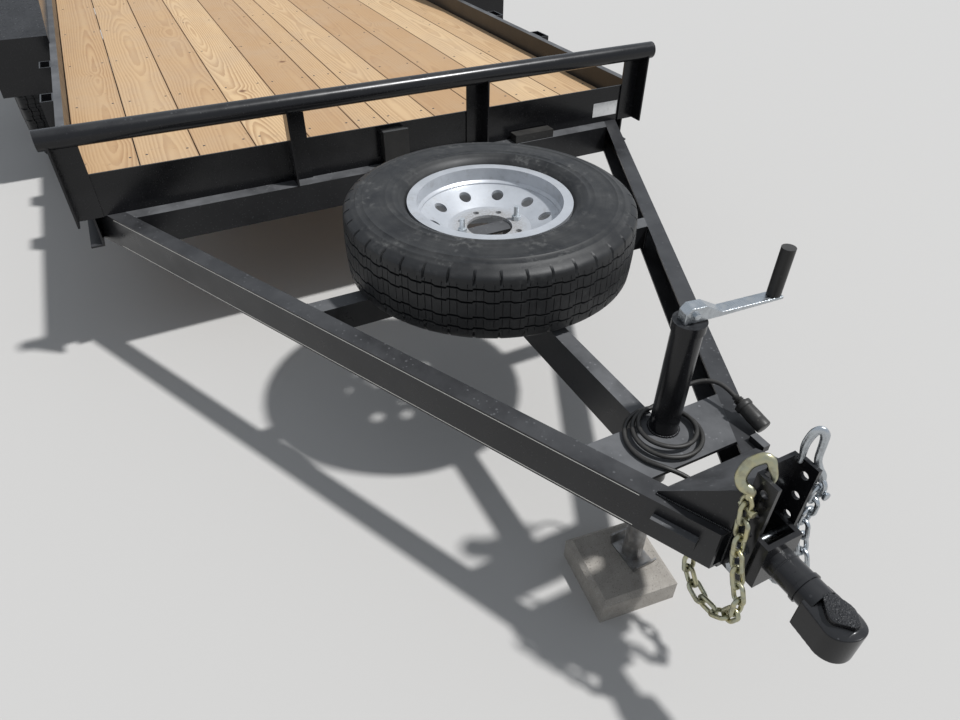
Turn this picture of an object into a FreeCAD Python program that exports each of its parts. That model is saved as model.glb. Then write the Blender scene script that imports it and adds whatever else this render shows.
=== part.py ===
"""Tandem axle utility trailer with a wood deck, a front pipe rail and a spare on the tongue.

Frame of the part: +X forward to the coupler, +Y to the trailer's left, +Z up, floor at z = 0.
The origin is under the middle of the whole trailer. Sizes are millimetres.
"""
import FreeCAD, Part
import Sketcher
import math
import os
import re

os.makedirs("parts", exist_ok=True)
doc = FreeCAD.newDocument("utility_trailer")

# Driving dimensions. A place along the trailer counts from the front face of the bed, called
# the bed front, and is positive forward. Heights count from the floor.
SIZES = {
    # bed
    "deck_top": 572, "bed_length": 4267, "bed_half": 1054,
    "plank_thick": 38, "plank_width": 189.5, "plank_least": 60, "plank_gap": 4, "deck_clear": 3.5,
    "rail_rise": 82, "rail_deep": 136, "rail_flange": 28, "rail_wall": 5,
    "beam_deep": 102, "beam_flange": 40, "beam_wall": 6, "beam_inset": 12,
    "joist_deep": 76, "joist_flange": 38, "joist_wall": 5, "joist_pitch": 610, "joist_first": 280,
    "header_wall": 6, "header_shelf": 45,
    "bumper_flange": 50, "bumper_wall": 6,
    # front rail on its angle iron posts
    "pipe_dia": 60, "pipe_x": 30, "pipe_rise": 212, "pipe_over": 18, "cope_gap": 0.3,
    "post_wall": 6, "post_forward": 57, "corner_leg": 76, "mid_leg": 66,
    "corner_in": 4, "mid_out_right": 375, "mid_out_left": 349,
    # stake pockets
    "pocket_long": 101, "pocket_out": 45, "pocket_deep": 104, "pocket_wall": 5,
    "pocket_ahead": 347, "pocket_apart": 461, "pocket_behind": 587, "pocket_last": 137,
    # tongue
    "tongue_root": 966.6, "tongue_slope": 26.4, "tongue_flange": 48, "tongue_wall": 6,
    "ledge_front": 55,
    "tie_back": 749, "tie_width": 51, "tie_deep": 75, "tie_wall": 5,
    "centre_y": 37, "centre_flange": 41,
    "plate_thick": 8, "plate_back": 1490, "plate_front": 1620,
    "nose_back": 1655, "hood_inset": 21, "hood_edge": 7, "hood_rise": 112, "hood_sheet": 8,
    "bracket_at": 1712, "bracket_long": 92, "bracket_high": 24, "bracket_out": 16, "bracket_drop": 46,
    "tab_at": 1648, "tab_long": 38, "tab_high": 17,
    # coupler channel and coupler
    "channel_back": 1784, "channel_half": 50, "channel_flange": 46, "channel_wall": 8,
    "channel_rise": 100, "web_rise": 14, "channel_drop": 160, "hole_dia": 17, "hole_in": 20, "hole_top": 30,
    "hole_pitch": 51,
    "tail_gap": 0.3, "tail_front": 1852, "tail_wall": 10, "tail_drop_top": 40,
    "tail_drop_low": 152, "bolt_dia": 16, "bolt_head": 24, "bolt_head_thick": 10,
    "sleeve_dia": 60, "sleeve_drop": 92, "head_back": 1932,
    "ball_x": 1990, "ball_z": 457, "ball_dia": 58.7, "ball_fit": 0.5, "head_wall": 9,
    "head_low": 422, "head_top": 498, "head_back_half": 33, "pad_top": 510, "pad_half": 27,
    # jack and its paver
    "jack_x": 1519, "jack_dia": 60, "jack_wall": 5, "jack_top": 775, "jack_low": 372,
    "cap_dia": 66, "cap_high": 20,
    "leg_top": 480, "leg_wall": 4,
    "foot_long": 94, "foot_wide": 60, "foot_wall": 5, "foot_lip": 26, "foot_flare": 8,
    "block_size": 203, "block_high": 74, "block_chamfer": 12, "block_x": 1521,
    "block_y": -34, "block_turn": -7.1,
    "arm_reach": 190, "arm_width": 26, "arm_thick": 6, "arm_turn": 82, "boss_high": 34,
    "grip_dia": 27, "grip_long": 100,
    # wheels and axles
    "tyre_dia": 782, "tyre_width": 216, "tread_width": 150, "bead_dia": 406, "rim_half": 88,
    "lip_dia": 441, "lip_thick": 12, "barrel_wall": 8, "disc_wall": 8, "dish_rise": 46,
    "disc_flat_dia": 232, "bore_dia": 124, "lug_circle": 165.1, "lug_count": 8, "lug_dia": 17,
    "vent_count": 10, "vent_circle": 304, "vent_dia": 34, "fit_gap": 0.3,
    "wheel_out": 134, "axle_aft": 2157, "axle_spread": 889, "spindle_z": 391,
    "beam_tube": 76, "axle_drop": 102, "arm_in": 116, "drop_arm": 22, "spindle_dia": 50,
    "drum_dia": 330, "drum_deep": 75, "drum_wall": 9, "hub_dia": 104, "cap_out": 62,
    "plate_gap": 5, "backing_thick": 5, "nut_width": 24, "nut_high": 18, "stud_dia": 14,
    "hub_cap_dia": 70, "hub_rise": 24,
    # leaf springs
    "spring_in": 42, "spring_width": 44, "spring_half": 325, "spring_camber": 26, "leaf_thick": 8,
    "leaf_count": 3, "leaf_lap": 0.4, "seat_thick": 6, "seat_half": 55, "seat_bite": 1.6, "eye_dia": 30, "hanger_wall": 6, "hanger_gap": 1,
    "ubolt_dia": 13,
    # spare
    "spare_y": 24, "mount_plate": 6, "mount_half": 105, "mount_leg": 60, "mount_bolt": 14,
    # fenders
    "fender_ahead": 490, "fender_out": 264, "fender_rise": 262, "fender_bend": 115,
    "fender_slope": 17, "fender_sheet": 3, "fender_lip": 50, "outrigger_deep": 76,
    "outrigger_flange": 42, "outrigger_wall": 5,
    # lamps and wiring box
    "lamp_width": 160, "lamp_high": 58, "lamp_thick": 26, "lamp_y": 860,
    "box_width": 84, "box_high": 110, "box_thick": 46, "box_y": -9,
    "shelf_box_long": 165, "shelf_box_high": 30, "shelf_box_y": 470,
    # safety chains
    "wire_dia": 9, "link_long": 52, "link_wide": 32, "link_slack": 0.7, "link_pull": 1,
    # harness cable
    "cable_dia": 10, "plug_dia": 38, "plug_long": 88,
}

# Places that follow other sizes: across from the bed's side, and along from the bed's rear, where
# the axles are set, and from the fenders. The middle plank takes what the wide ones leave.
TIED = {
    "deck_half": "bed_half - rail_flange - deck_clear",
    "plank_pitch": "plank_width + plank_gap",
    "plank_rows": "floor((deck_half - plank_least / 2) / plank_pitch)",
    "plank_narrow": "2 * (deck_half - plank_rows * plank_pitch)",
    "pipe_half": "bed_half + pipe_over", "corner_out": "bed_half - corner_in",
    "wheel_y": "bed_half + wheel_out", "arm_out": "wheel_y - arm_in", "spring_y": "bed_half - spring_in",
    "fender_half": "bed_half + fender_out",
    "axle_fore": "bed_length - axle_aft", "fender_front": "axle_fore - fender_ahead",
    "pocket_second": "fender_front - pocket_ahead", "pocket_first": "pocket_second - pocket_apart",
    "pocket_third": "bed_length - pocket_behind", "pocket_fourth": "bed_length - pocket_last",
}

sheet = doc.addObject("Spreadsheet::Sheet", "Sizes")
rows = list(SIZES.items()) + [(alias, "=" + formula) for alias, formula in TIED.items()]
for row, (alias, value) in enumerate(rows, start=1):
    sheet.set("A%d" % row, alias)
    sheet.set("B%d" % row, str(value))
    sheet.setAlias("B%d" % row, alias)
doc.recompute()

# Lengths that more than one piece needs, as formulas of the sheet.
NOSE = "(ball_x + ball_dia / 2 + ball_fit + head_wall)"
BED = "((bed_length + bumper_flange + lamp_thick - %s) / 2)" % NOSE
LOW_TOP = "(deck_top + rail_rise - rail_deep)"
LOW_BOTTOM = "(deck_top + rail_rise - rail_deep - beam_deep)"
RAIL_TOP = "(deck_top + rail_rise)"
PIPE_Z = "(deck_top + pipe_rise)"
WEB_IN = "(bed_half - beam_inset - beam_flange)"
SPREAD = "(tongue_flange / cos(tongue_slope))"
SOCKET = "(ball_dia / 2 + ball_fit)"
TURNS = {"cos": math.cos, "sin": math.sin, "tan": math.tan}
kept = []


def link(formula):
    """The formula with each name of the sheet written as the sheet's own cell."""
    return re.sub(r"[a-z]\w*", lambda m: m.group() if m.group() in TURNS else "Sizes." + m.group(),
                  str(formula))


def size(alias):
    """One value of the sheet, for the few shapes that are set in code."""
    return float(sheet.get(alias))


def bind(item, **formulas):
    for key, formula in formulas.items():
        item.setExpression(key, link(formula))
    return item


def place(item, x="0", y="0", z="0"):
    """Bind a piece's place: x from the bed front, y from the middle, z from the floor."""
    item.setExpression("Placement.Base.x", link("%s + (%s)" % (BED, x)))
    item.setExpression("Placement.Base.y", link(y))
    item.setExpression("Placement.Base.z", link(z))
    return item


def turn(item, axis, angle):
    item.Placement = FreeCAD.Placement(FreeCAD.Vector(), FreeCAD.Rotation(FreeCAD.Vector(*axis), 1))
    item.setExpression("Placement.Rotation.Angle", link(angle))
    return item


def keep(item, label):
    """Take a finished object as the sub-part with this name."""
    item.Label = label
    kept.append(item)
    return item


def box(name, long, wide, high, x="0", y="0", z="0"):
    return place(bind(doc.addObject("Part::Box", name), Length=long, Width=wide, Height=high), x, y, z)


ALONG = {"x": ((0, 1, 0), 90), "y": ((1, 0, 0), -90), "z": ((0, 0, 1), 0)}


def cylinder(name, dia, long, x="0", y="0", z="0", along="z"):
    item = bind(doc.addObject("Part::Cylinder", name), Radius="(%s) / 2" % dia, Height=long)
    axis, angle = ALONG[along]
    item.Placement = FreeCAD.Placement(FreeCAD.Vector(), FreeCAD.Rotation(FreeCAD.Vector(*axis), angle))
    return place(item, x, y, z)


def fuse(name, *pieces):
    item = doc.addObject("Part::MultiFuse", name)
    item.Shapes = list(pieces)
    return item


def fuse_in_turn(name, *pieces):
    """The same for pieces that meet in many ways at once: they are joined one after the other."""
    whole = pieces[0]
    for i, piece in enumerate(pieces[1:]):
        step = doc.addObject("Part::Fuse", "%s_%d" % (name, i))
        step.Base = whole
        step.Tool = piece
        whole = step
    return whole


def cut(name, base, *tools):
    item = doc.addObject("Part::Cut", name)
    item.Base = base
    item.Tool = tools[0] if len(tools) == 1 else fuse(name + "_tools", *tools)
    return item


def common(name, base, tool):
    item = doc.addObject("Part::Common", name)
    item.Base = base
    item.Tool = tool
    return item


def group(name, *pieces):
    """Like pieces of one body that stay solids of their own."""
    item = doc.addObject("Part::Compound", name)
    item.Links = list(pieces)
    return item


def mirrored(name, source):
    """The same piece on the other side of the trailer's middle plane."""
    item = doc.addObject("Part::Mirroring", name)
    item.Source = source
    item.Normal = FreeCAD.Vector(0, 1, 0)
    item.Base = FreeCAD.Vector(0, 0, 0)
    return item


def outline(name, plane, corners):
    """A body with a closed sketch of straight sides whose corners are formulas of the sheet."""
    body = doc.addObject("PartDesign::Body", name)
    sketch = body.newObject("Sketcher::SketchObject", name + "_outline")
    origin = [item for item in body.Origin.OriginFeatures if item.Role == plane][0]
    sketch.AttachmentSupport = [(origin, "")]
    sketch.MapMode = "FlatFace"
    count = len(corners)
    # The corners start on a circle, and the constraints take each to its own place.
    step = 2 * math.pi / count
    rough = [(100 * math.cos(step * i), 100 * math.sin(step * i)) for i in range(count)]
    for i in range(count):
        start = FreeCAD.Vector(*rough[i], 0)
        end = FreeCAD.Vector(*rough[(i + 1) % count], 0)
        sketch.addGeometry(Part.LineSegment(start, end), False)
    for i in range(count):
        sketch.addConstraint(Sketcher.Constraint("Coincident", i, 2, (i + 1) % count, 1))
    for i, corner in enumerate(corners):
        for axis, kind in enumerate(("DistanceX", "DistanceY")):
            value = 0.0 if corner[axis] == "0" else rough[i][axis]
            index = sketch.addConstraint(Sketcher.Constraint(kind, -1, 1, i, 1, value))
            if corner[axis] != "0":
                sketch.setExpression("Constraints[%d]" % index, link(corner[axis]))
    return body, sketch


def pad(name, plane, corners, long):
    body, sketch = outline(name, plane, corners)
    feature = body.newObject("PartDesign::Pad", name + "_pad")
    feature.Profile = sketch
    bind(feature, Length=long)
    return body


def revolve(name, corners):
    """A turned piece about its own z axis. Each corner is its radius and its height."""
    body, sketch = outline(name, "XZ_Plane", corners)
    feature = body.newObject("PartDesign::Revolution", name + "_turned")
    feature.Profile = sketch
    feature.ReferenceAxis = (sketch, ["V_Axis"])
    feature.Angle = 360
    return body


def channel_corners(deep, flange, wall):
    """A C section: web along the second direction, flanges towards the first."""
    inner = "%s - %s" % (deep, wall)
    return [("0", "0"), (flange, "0"), (flange, wall), (wall, wall),
            (wall, inner), (flange, inner), (flange, deep), ("0", deep)]


def channel(name, deep, flange, wall, long):
    """A channel along +X with its web at y = 0 and its flanges towards +y."""
    return pad(name, "YZ_Plane", channel_corners(deep, flange, wall), long)


# Bed: side rails with their flanges outward, on the channel beams that carry the springs.
BED_RUN = "bed_length - header_wall"
rail = channel("rail", "rail_deep", "rail_flange", "rail_wall", BED_RUN)
keep(place(rail, "0 - bed_length", "bed_half - rail_flange", LOW_TOP), "side_rail_left")
keep(mirrored("rail_right", rail), "side_rail_right")
beam = channel("beam", "beam_deep", "beam_flange", "beam_wall", BED_RUN)
keep(place(beam, "0 - bed_length", WEB_IN, LOW_BOTTOM), "lower_beam_left")
keep(mirrored("beam_right", beam), "lower_beam_right")

header = pad("header_angle", "XZ_Plane",
             [("0", LOW_TOP), ("0", RAIL_TOP), ("0 - header_wall", RAIL_TOP),
              ("0 - header_wall", "deck_top - plank_thick"),
              ("0 - header_wall - header_shelf", "deck_top - plank_thick"),
              ("0 - header_wall - header_shelf", "deck_top - plank_thick - header_wall"),
              ("0 - header_wall", "deck_top - plank_thick - header_wall"),
              ("0 - header_wall", LOW_TOP)], "2 * (bed_half - rail_flange)")
place(header, "0", "bed_half - rail_flange")
ends = [box("header_end_%d" % sign, "header_wall", "rail_flange", "rail_deep", "0 - header_wall",
            "bed_half - rail_flange" if sign > 0 else "0 - bed_half", LOW_TOP) for sign in (1, -1)]
keep(fuse("header_plate", header, *ends), "header")

bumper = pad("bumper", "XZ_Plane",
             [("0", LOW_BOTTOM), ("0", "%s + bumper_wall" % LOW_BOTTOM),
              ("bumper_wall - bumper_flange", "%s + bumper_wall" % LOW_BOTTOM),
              ("bumper_wall - bumper_flange", "deck_top - bumper_wall"),
              ("0", "deck_top - bumper_wall"), ("0", "deck_top"),
              ("0 - bumper_flange", "deck_top"), ("0 - bumper_flange", LOW_BOTTOM)],
             "2 * bed_half")
keep(place(bumper, "0 - bed_length", "bed_half"), "rear_bumper")

# Joists stand between the beams' webs, under the planks.
JOIST_Z = "(deck_top - plank_thick - joist_deep)"
joist_count = int((size("bed_length") - size("joist_first")) // size("joist_pitch")) + 1
joists = []
for i in range(joist_count):
    item = pad("joist_%d" % i, "XZ_Plane", channel_corners("joist_deep", "joist_flange", "joist_wall"),
               "2 * " + WEB_IN)
    joists.append(place(item, "0 - joist_first - %d * joist_pitch" % i, WEB_IN, JOIST_Z))
keep(group("joist_set", *joists), "joists")

# Deck: wide planks on both sides of a middle one that fills what they leave.
planks = []
plank_rows = int(size("plank_rows"))
for i in range(2 * plank_rows + 1):
    side = (i > plank_rows) - (i < plank_rows)
    middle = "%d * (plank_narrow / 2 + plank_gap)" % side
    inner = "%s + %d * (plank_width + plank_gap)" % (middle, i - plank_rows - side)
    low = "0 - plank_narrow / 2" if side == 0 else inner if side > 0 else inner + " - plank_width"
    wide = "plank_width" if side else "plank_narrow"
    planks.append(box("plank_%d" % i, BED_RUN, wide, "plank_thick", "0 - bed_length", low,
                      "deck_top - plank_thick"))
keep(group("planks", *planks), "deck_planks")

# Front rail: a closed pipe on four angle irons, which are coped to it.
pipe = cylinder("pipe", "pipe_dia", "2 * pipe_half", "pipe_x", "0 - pipe_half", PIPE_Z, "y")
keep(pipe, "pipe_rail")
cope = cylinder("cope", "pipe_dia + 2 * cope_gap", "2 * pipe_half", "pipe_x", "0 - pipe_half", PIPE_Z, "y")
POST_HIGH = "(%s - %s - pipe_dia / 6)" % (PIPE_Z, LOW_TOP)
# name, outer side of the post, leg across the trailer, sign of the outer side
POSTS = (("corner_left", "corner_out", "corner_leg", 1), ("mid_left", "mid_out_left", "mid_leg", 1),
         ("corner_right", "corner_out", "corner_leg", -1), ("mid_right", "mid_out_right", "mid_leg", -1))
posts = {}
for name, out, leg, sign in POSTS:
    corners = [("0", "%d * %s" % (sign, out)), ("post_forward", "%d * %s" % (sign, out)),
               ("post_forward", "%d * (%s - post_wall)" % (sign, out)),
               ("post_wall", "%d * (%s - post_wall)" % (sign, out)),
               ("post_wall", "%d * (%s - %s)" % (sign, out, leg)), ("0", "%d * (%s - %s)" % (sign, out, leg))]
    blank = place(pad("post_" + name, "XY_Plane", corners, POST_HIGH), "0", "0", LOW_TOP)
    posts[name] = cut("post_%s_coped" % name, blank, cope)
keep(group("posts_l", posts["corner_left"], posts["mid_left"]), "front_posts_left")
keep(group("posts_r", posts["corner_right"], posts["mid_right"]), "front_posts_right")

# Stake pockets: open tubes on the outside of each side rail.
tubes = []
for middle in ("pocket_first", "pocket_second", "pocket_third", "pocket_fourth"):
    low = "%s - pocket_deep" % RAIL_TOP
    outer = box(middle + "_outer", "pocket_long", "pocket_out", "pocket_deep",
                "0 - %s - pocket_long / 2" % middle, "bed_half", low)
    inner = box(middle + "_inner", "pocket_long - 2 * pocket_wall", "pocket_out - 2 * pocket_wall",
                "pocket_deep", "0 - %s - pocket_long / 2 + pocket_wall" % middle, "bed_half + pocket_wall", low)
    tubes.append(cut(middle + "_tube", outer, inner))
pockets = group("pockets", *tubes)
keep(pockets, "stake_pockets_left")
keep(mirrored("pockets_m", pockets), "stake_pockets_right")

# Tongue: two channels with their flanges inward, mitred to the beams' webs and to the nose.
TONGUE_START = "(tongue_root + tan(tongue_slope) * 300)"
blank = channel("tongue", "beam_deep", "tongue_flange", "tongue_wall",
                "(channel_back + 300) / cos(tongue_slope) + 60")
turn(blank, (0, 0, 1), "tongue_slope")
place(blank, "0 - 300", "0 - " + TONGUE_START, LOW_BOTTOM)
beam_side = box("beam_side", "600", "400", "3 * beam_deep", "0 - 600", "0 - %s - 400" % WEB_IN,
                LOW_BOTTOM + " - beam_deep")
nose_side = box("nose_side", "400", "600", "3 * beam_deep", "channel_back", "0 - 300",
                LOW_BOTTOM + " - beam_deep")
tongue_right = cut("tongue_mitred", blank, beam_side, nose_side)
keep(mirrored("tongue_left_m", tongue_right), "tongue_rail_left")
keep(tongue_right, "tongue_rail_right")

# The space between the rails' flanges trims each member that runs across the tongue.
INNER = "(tongue_root - %s - tan(tongue_slope) * (%s))"
back, front = "0 - 60", "channel_back"
space = pad("space", "XY_Plane",
            [(back, INNER % (SPREAD, back)), (back, "0 - " + INNER % (SPREAD, back)),
             (front, "0 - " + INNER % (SPREAD, front)), (front, INNER % (SPREAD, front))],
            "2 * beam_deep")
place(space, "0", "0", LOW_BOTTOM + " - beam_deep / 2")
ledge = pad("ledge", "XZ_Plane",
            [("0", LOW_BOTTOM), ("0", LOW_BOTTOM + " + tongue_wall"),
             ("ledge_front - tongue_wall", LOW_BOTTOM + " + tongue_wall"),
             ("ledge_front - tongue_wall", LOW_TOP + " - tongue_wall"),
             ("0", LOW_TOP + " - tongue_wall"), ("0", LOW_TOP), ("ledge_front", LOW_TOP),
             ("ledge_front", LOW_BOTTOM)], "2 * bed_half")
place(ledge, "0", "bed_half")
keep(common("ledge_trimmed", ledge, space), "tongue_crossmember")

tie = box("tie", "tie_width", "2 * bed_half", "tie_deep", "tie_back", "0 - bed_half", LOW_TOP + " - tie_deep")
tie_in = box("tie_in", "tie_width - 2 * tie_wall", "2 * bed_half", "tie_deep - 2 * tie_wall",
             "tie_back + tie_wall", "0 - bed_half", LOW_TOP + " - tie_deep + tie_wall")
keep(common("tie_trimmed", cut("tie_tube", tie, tie_in), space), "spare_tie")
centre = channel("centre", "beam_deep", "centre_flange", "tongue_wall", "plate_back - tie_back - tie_width")
place(centre, "tie_back + tie_width", "0 - centre_y", LOW_BOTTOM)
jack_room = cylinder("jack_room", "jack_dia + 2 * fit_gap", "2 * beam_deep", "jack_x", "0",
                     LOW_BOTTOM + " - beam_deep / 2")
keep(cut("centre_notched", centre, jack_room), "tongue_centre")

# Plates at the nose: the jack plate between the rails, and one plate over and under the nose.
PLATE_X = "plate_front - plate_back"
jack_plate = box("jack_plate", PLATE_X, "2 * bed_half", "plate_thick", "plate_back", "0 - bed_half",
                 LOW_TOP + " - plate_thick")
jack_hole = cylinder("jack_hole", "jack_dia + 2 * fit_gap", "2 * plate_thick", "jack_x", "0",
                     LOW_TOP + " - 1.5 * plate_thick")
jack_plate = cut("jack_plate_bored", common("jack_plate_trimmed", jack_plate, space), jack_hole)
HOOD_SIDE = "(tongue_root - tan(tongue_slope) * (%s) - hood_inset - (%s))"


def nose_wedge(name, inset, high, low):
    """The room over the two rails at the nose, as wide as the rails' outer faces less an inset."""
    sides = [HOOD_SIDE % (x, inset) for x in ("nose_back", "channel_back")]
    corners = [("nose_back", sides[0]), ("nose_back", "0 - " + sides[0]),
               ("channel_back", "0 - " + sides[1]), ("channel_back", sides[1])]
    return place(pad(name, "XY_Plane", corners, high), "0", "0", low)


def hood_profile(name, back, edge, rise):
    """A wedge that climbs towards the front, as wide as the bed."""
    low = LOW_TOP if edge != "0" else LOW_TOP + " - 1"
    corners = [(back, low), ("channel_back", low), ("channel_back", "%s + %s" % (LOW_TOP, rise)),
               (back, "%s + %s" % (LOW_TOP, edge))]
    return place(pad(name, "XZ_Plane", corners, "2 * bed_half"), "0", "bed_half")


# Hood: a sheet that climbs from the rails to the coupler channel, with a cheek down each side.
hood_full = common("hood_full", hood_profile("hood_rise_full", "nose_back", "hood_edge", "hood_rise"),
                   nose_wedge("hood_wedge", "0", "2 * hood_rise", LOW_TOP))
hood_room = common("hood_room", hood_profile("hood_rise_room", "nose_back + 1.6 * hood_sheet", "0",
                                             "(hood_rise - 1.4 * hood_sheet)"),
                   nose_wedge("hood_wedge_room", "hood_sheet", "2 * hood_rise", LOW_TOP + " - 2"))
hood = cut("hood_open", hood_full, hood_room)
nose_low = nose_wedge("nose_low", "0", "plate_thick", LOW_BOTTOM + " - plate_thick")
# A short bar on the outer face of the right rail, and a tab on top of the left one.
bracket = turn(box("bracket", "bracket_long", "bracket_out", "bracket_high"), (0, 0, 1), "tongue_slope")
RAIL_OUT = "(tongue_root - tan(tongue_slope) * (%s))"
place(bracket, "bracket_at - cos(tongue_slope) * bracket_long / 2 + sin(tongue_slope) * bracket_out",
      "0 - %s - cos(tongue_slope) * bracket_out" % (RAIL_OUT % "bracket_at - cos(tongue_slope) * bracket_long / 2"),
      LOW_TOP + " - bracket_drop - bracket_high / 2")
tab = box("tab", "tab_long", "tab_high", "2 * plate_thick", "tab_at - tab_long / 2",
          RAIL_OUT % "tab_at" + " - tab_high", LOW_TOP)
keep(group("plates", jack_plate, hood, nose_low, bracket, tab), "tongue_plates")

# Coupler channel: an upright C with five pairs of bolt holes in its flanges.
upright = pad("upright", "XY_Plane",
              [("0", "0 - channel_half"), ("channel_flange", "0 - channel_half"),
               ("channel_flange", "channel_wall - channel_half"),
               ("channel_wall", "channel_wall - channel_half"), ("channel_wall", "channel_half - channel_wall"),
               ("channel_flange", "channel_half - channel_wall"), ("channel_flange", "channel_half"),
               ("0", "channel_half")], "channel_rise + channel_drop")
place(upright, "channel_back", "0", "deck_top - channel_drop")
holes = [cylinder("channel_hole_%d" % i, "hole_dia", "4 * channel_half", "channel_back + channel_flange - hole_in",
                  "0 - 2 * channel_half", "deck_top + channel_rise - hole_top - %d * hole_pitch" % i, "y")
         for i in range(5)]
web_top = box("web_top", "channel_wall", "2 * channel_half - 40", "web_rise + 4", "channel_back", "20 - channel_half",
              "deck_top + channel_rise - 4")
keep(cut("upright_drilled", fuse("upright_whole", upright, web_top), *holes), "coupler_channel")

# Coupler: a tail bolted between the flanges, a round sleeve, and the ball housing.
TAIL_HALF = "(channel_half - channel_wall - tail_gap)"
tail_x = "channel_back + channel_wall + tail_gap"
tail = box("tail", "tail_front - (%s)" % tail_x, "2 * " + TAIL_HALF, "tail_drop_low - tail_drop_top", tail_x,
           "0 - " + TAIL_HALF, "deck_top - tail_drop_low")
tail_in = box("tail_in", "tail_front - tail_wall - (%s)" % tail_x, "2 * %s - 2 * tail_wall" % TAIL_HALF,
              "tail_drop_low - tail_drop_top", tail_x, "tail_wall - " + TAIL_HALF, "deck_top - tail_drop_low")
bolt_z = ["deck_top + channel_rise - hole_top - %d * hole_pitch" % i for i in (3, 4)]
BOLT_X = "channel_back + channel_flange - hole_in"
tail_holes = [cylinder("tail_hole_%d" % i, "hole_dia", "4 * channel_half", BOLT_X, "0 - 2 * channel_half",
                       bolt_z[i], "y") for i in (0, 1)]
sleeve = cylinder("sleeve", "sleeve_dia", "head_back - tail_front + 20", "tail_front - 2", "0",
                  "deck_top - sleeve_drop", "x")
keep(fuse("neck_whole", cut("tail_drilled", tail, tail_in, *tail_holes), sleeve), "coupler_neck")

bolts = []
for i in (0, 1):
    shank = cylinder("bolt_%d" % i, "bolt_dia", "2 * channel_half", BOLT_X, "0 - channel_half", bolt_z[i], "y")
    heads = []
    for side, where in (("left", "channel_half"), ("right", "0 - channel_half - bolt_head_thick")):
        head = doc.addObject("Part::Prism", "bolt_%s_%d" % (side, i))
        head.Polygon = 6
        bind(head, Circumradius="bolt_head / 2", Height="bolt_head_thick")
        head.Placement = FreeCAD.Placement(FreeCAD.Vector(), FreeCAD.Rotation(FreeCAD.Vector(1, 0, 0), -90))
        heads.append(place(head, BOLT_X, where, bolt_z[i]))
    bolts.append(fuse("bolt_whole_%d" % i, shank, *heads))
keep(group("bolts", *bolts), "coupler_bolts")

HEAD_HIGH = "head_top - head_low"
cheek = pad("cheek", "XY_Plane",
            [("head_back", "head_back_half"), ("head_back", "0 - head_back_half"),
             ("ball_x", "0 - %s - head_wall" % SOCKET), ("ball_x", "%s + head_wall" % SOCKET)], HEAD_HIGH)
place(cheek, "0", "0", "head_low")
nose_round = cylinder("nose_round", "2 * (%s + head_wall)" % SOCKET, HEAD_HIGH, "ball_x", "0", "head_low")
pad_block = pad("pad_block", "XY_Plane",
                [("head_back + 14", "pad_half - 6"), ("head_back + 14", "6 - pad_half"),
                 ("ball_x", "0 - pad_half"), ("ball_x + 24", "8 - pad_half"), ("ball_x + 24", "pad_half - 8"),
                 ("ball_x", "pad_half")], "pad_top - head_top")
place(pad_block, "0", "0", "head_top")
mouth = cylinder("mouth", "2 * " + SOCKET, "ball_z - head_low + 10", "ball_x", "0", "head_low - 10")
ball = bind(doc.addObject("Part::Sphere", "ball_room"), Radius=SOCKET)
place(ball, "ball_x", "0", "ball_z")
neck_hole = cylinder("neck_hole", "sleeve_dia + 2 * fit_gap", "19 + fit_gap", "head_back - 1", "0",
                     "deck_top - sleeve_drop", "x")
keep(cut("head_bored", fuse("head_whole", cheek, nose_round, pad_block), mouth, ball, neck_hole), "coupler_head")


# Jack: a square-cut outer tube through the jack plate, with a leg that slides inside it.
LEG_DIA = "(jack_dia - 2 * jack_wall - 2 * fit_gap)"
tube = cylinder("jack_outer", "jack_dia", "jack_top - jack_low", "jack_x", "0", "jack_low")
bore = cylinder("jack_bore", "jack_dia - 2 * jack_wall", "jack_top - jack_low", "jack_x", "0", "jack_low")
cap = cylinder("jack_cap", "cap_dia", "cap_high", "jack_x", "0", "jack_top")
keep(fuse("jack_tube_whole", cut("jack_open", tube, bore), cap), "jack_tube")

leg = cylinder("leg", LEG_DIA, "leg_top - block_high - foot_wall", "jack_x", "0", "block_high + foot_wall")
leg_in = cylinder("leg_in", "%s - 2 * leg_wall" % LEG_DIA, "leg_top - block_high - foot_wall", "jack_x", "0",
                  "block_high + foot_wall")
foot = pad("foot", "XZ_Plane",
           [("0 - foot_long / 2", "0"), ("foot_long / 2", "0"), ("foot_long / 2 + foot_flare", "foot_lip"),
            ("foot_long / 2 + foot_flare - foot_wall", "foot_lip"), ("foot_long / 2 - foot_wall", "foot_wall"),
            ("foot_wall - foot_long / 2", "foot_wall"),
            ("foot_wall - foot_long / 2 - foot_flare", "foot_lip"),
            ("0 - foot_long / 2 - foot_flare", "foot_lip")], "foot_wide")
place(foot, "jack_x", "foot_wide / 2", "block_high")
keep(fuse("leg_whole", cut("leg_tube", leg, leg_in), foot), "jack_leg")

# Paver under the jack's foot: a square block with its top edges chamfered.
def block_slab(name, half_low, half_high, low, high):
    slab = doc.addObject("Part::Wedge", name)
    for key in ("Xmin", "Zmin"):
        bind(slab, **{key: "0 - " + half_low})
    for key in ("Xmax", "Zmax"):
        bind(slab, **{key: half_low})
    for key in ("X2min", "Z2min"):
        bind(slab, **{key: "0 - " + half_high})
    for key in ("X2max", "Z2max"):
        bind(slab, **{key: half_high})
    bind(slab, Ymin=low, Ymax=high)
    slab.Placement = FreeCAD.Placement(FreeCAD.Vector(), FreeCAD.Rotation(FreeCAD.Vector(1, 0, 0), 90))
    return slab


chamfer_z = "(block_high - block_chamfer)"
block = fuse("block_whole", block_slab("block_low", "(block_size / 2)", "(block_size / 2)", "0", chamfer_z),
             block_slab("block_top", "(block_size / 2)", "(block_size / 2 - block_chamfer)", chamfer_z,
                        "block_high"))
turned = turn(group("block_turned", block), (0, 0, 1), "block_turn")
keep(place(turned, "block_x", "block_y", "0"), "jack_block")

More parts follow.
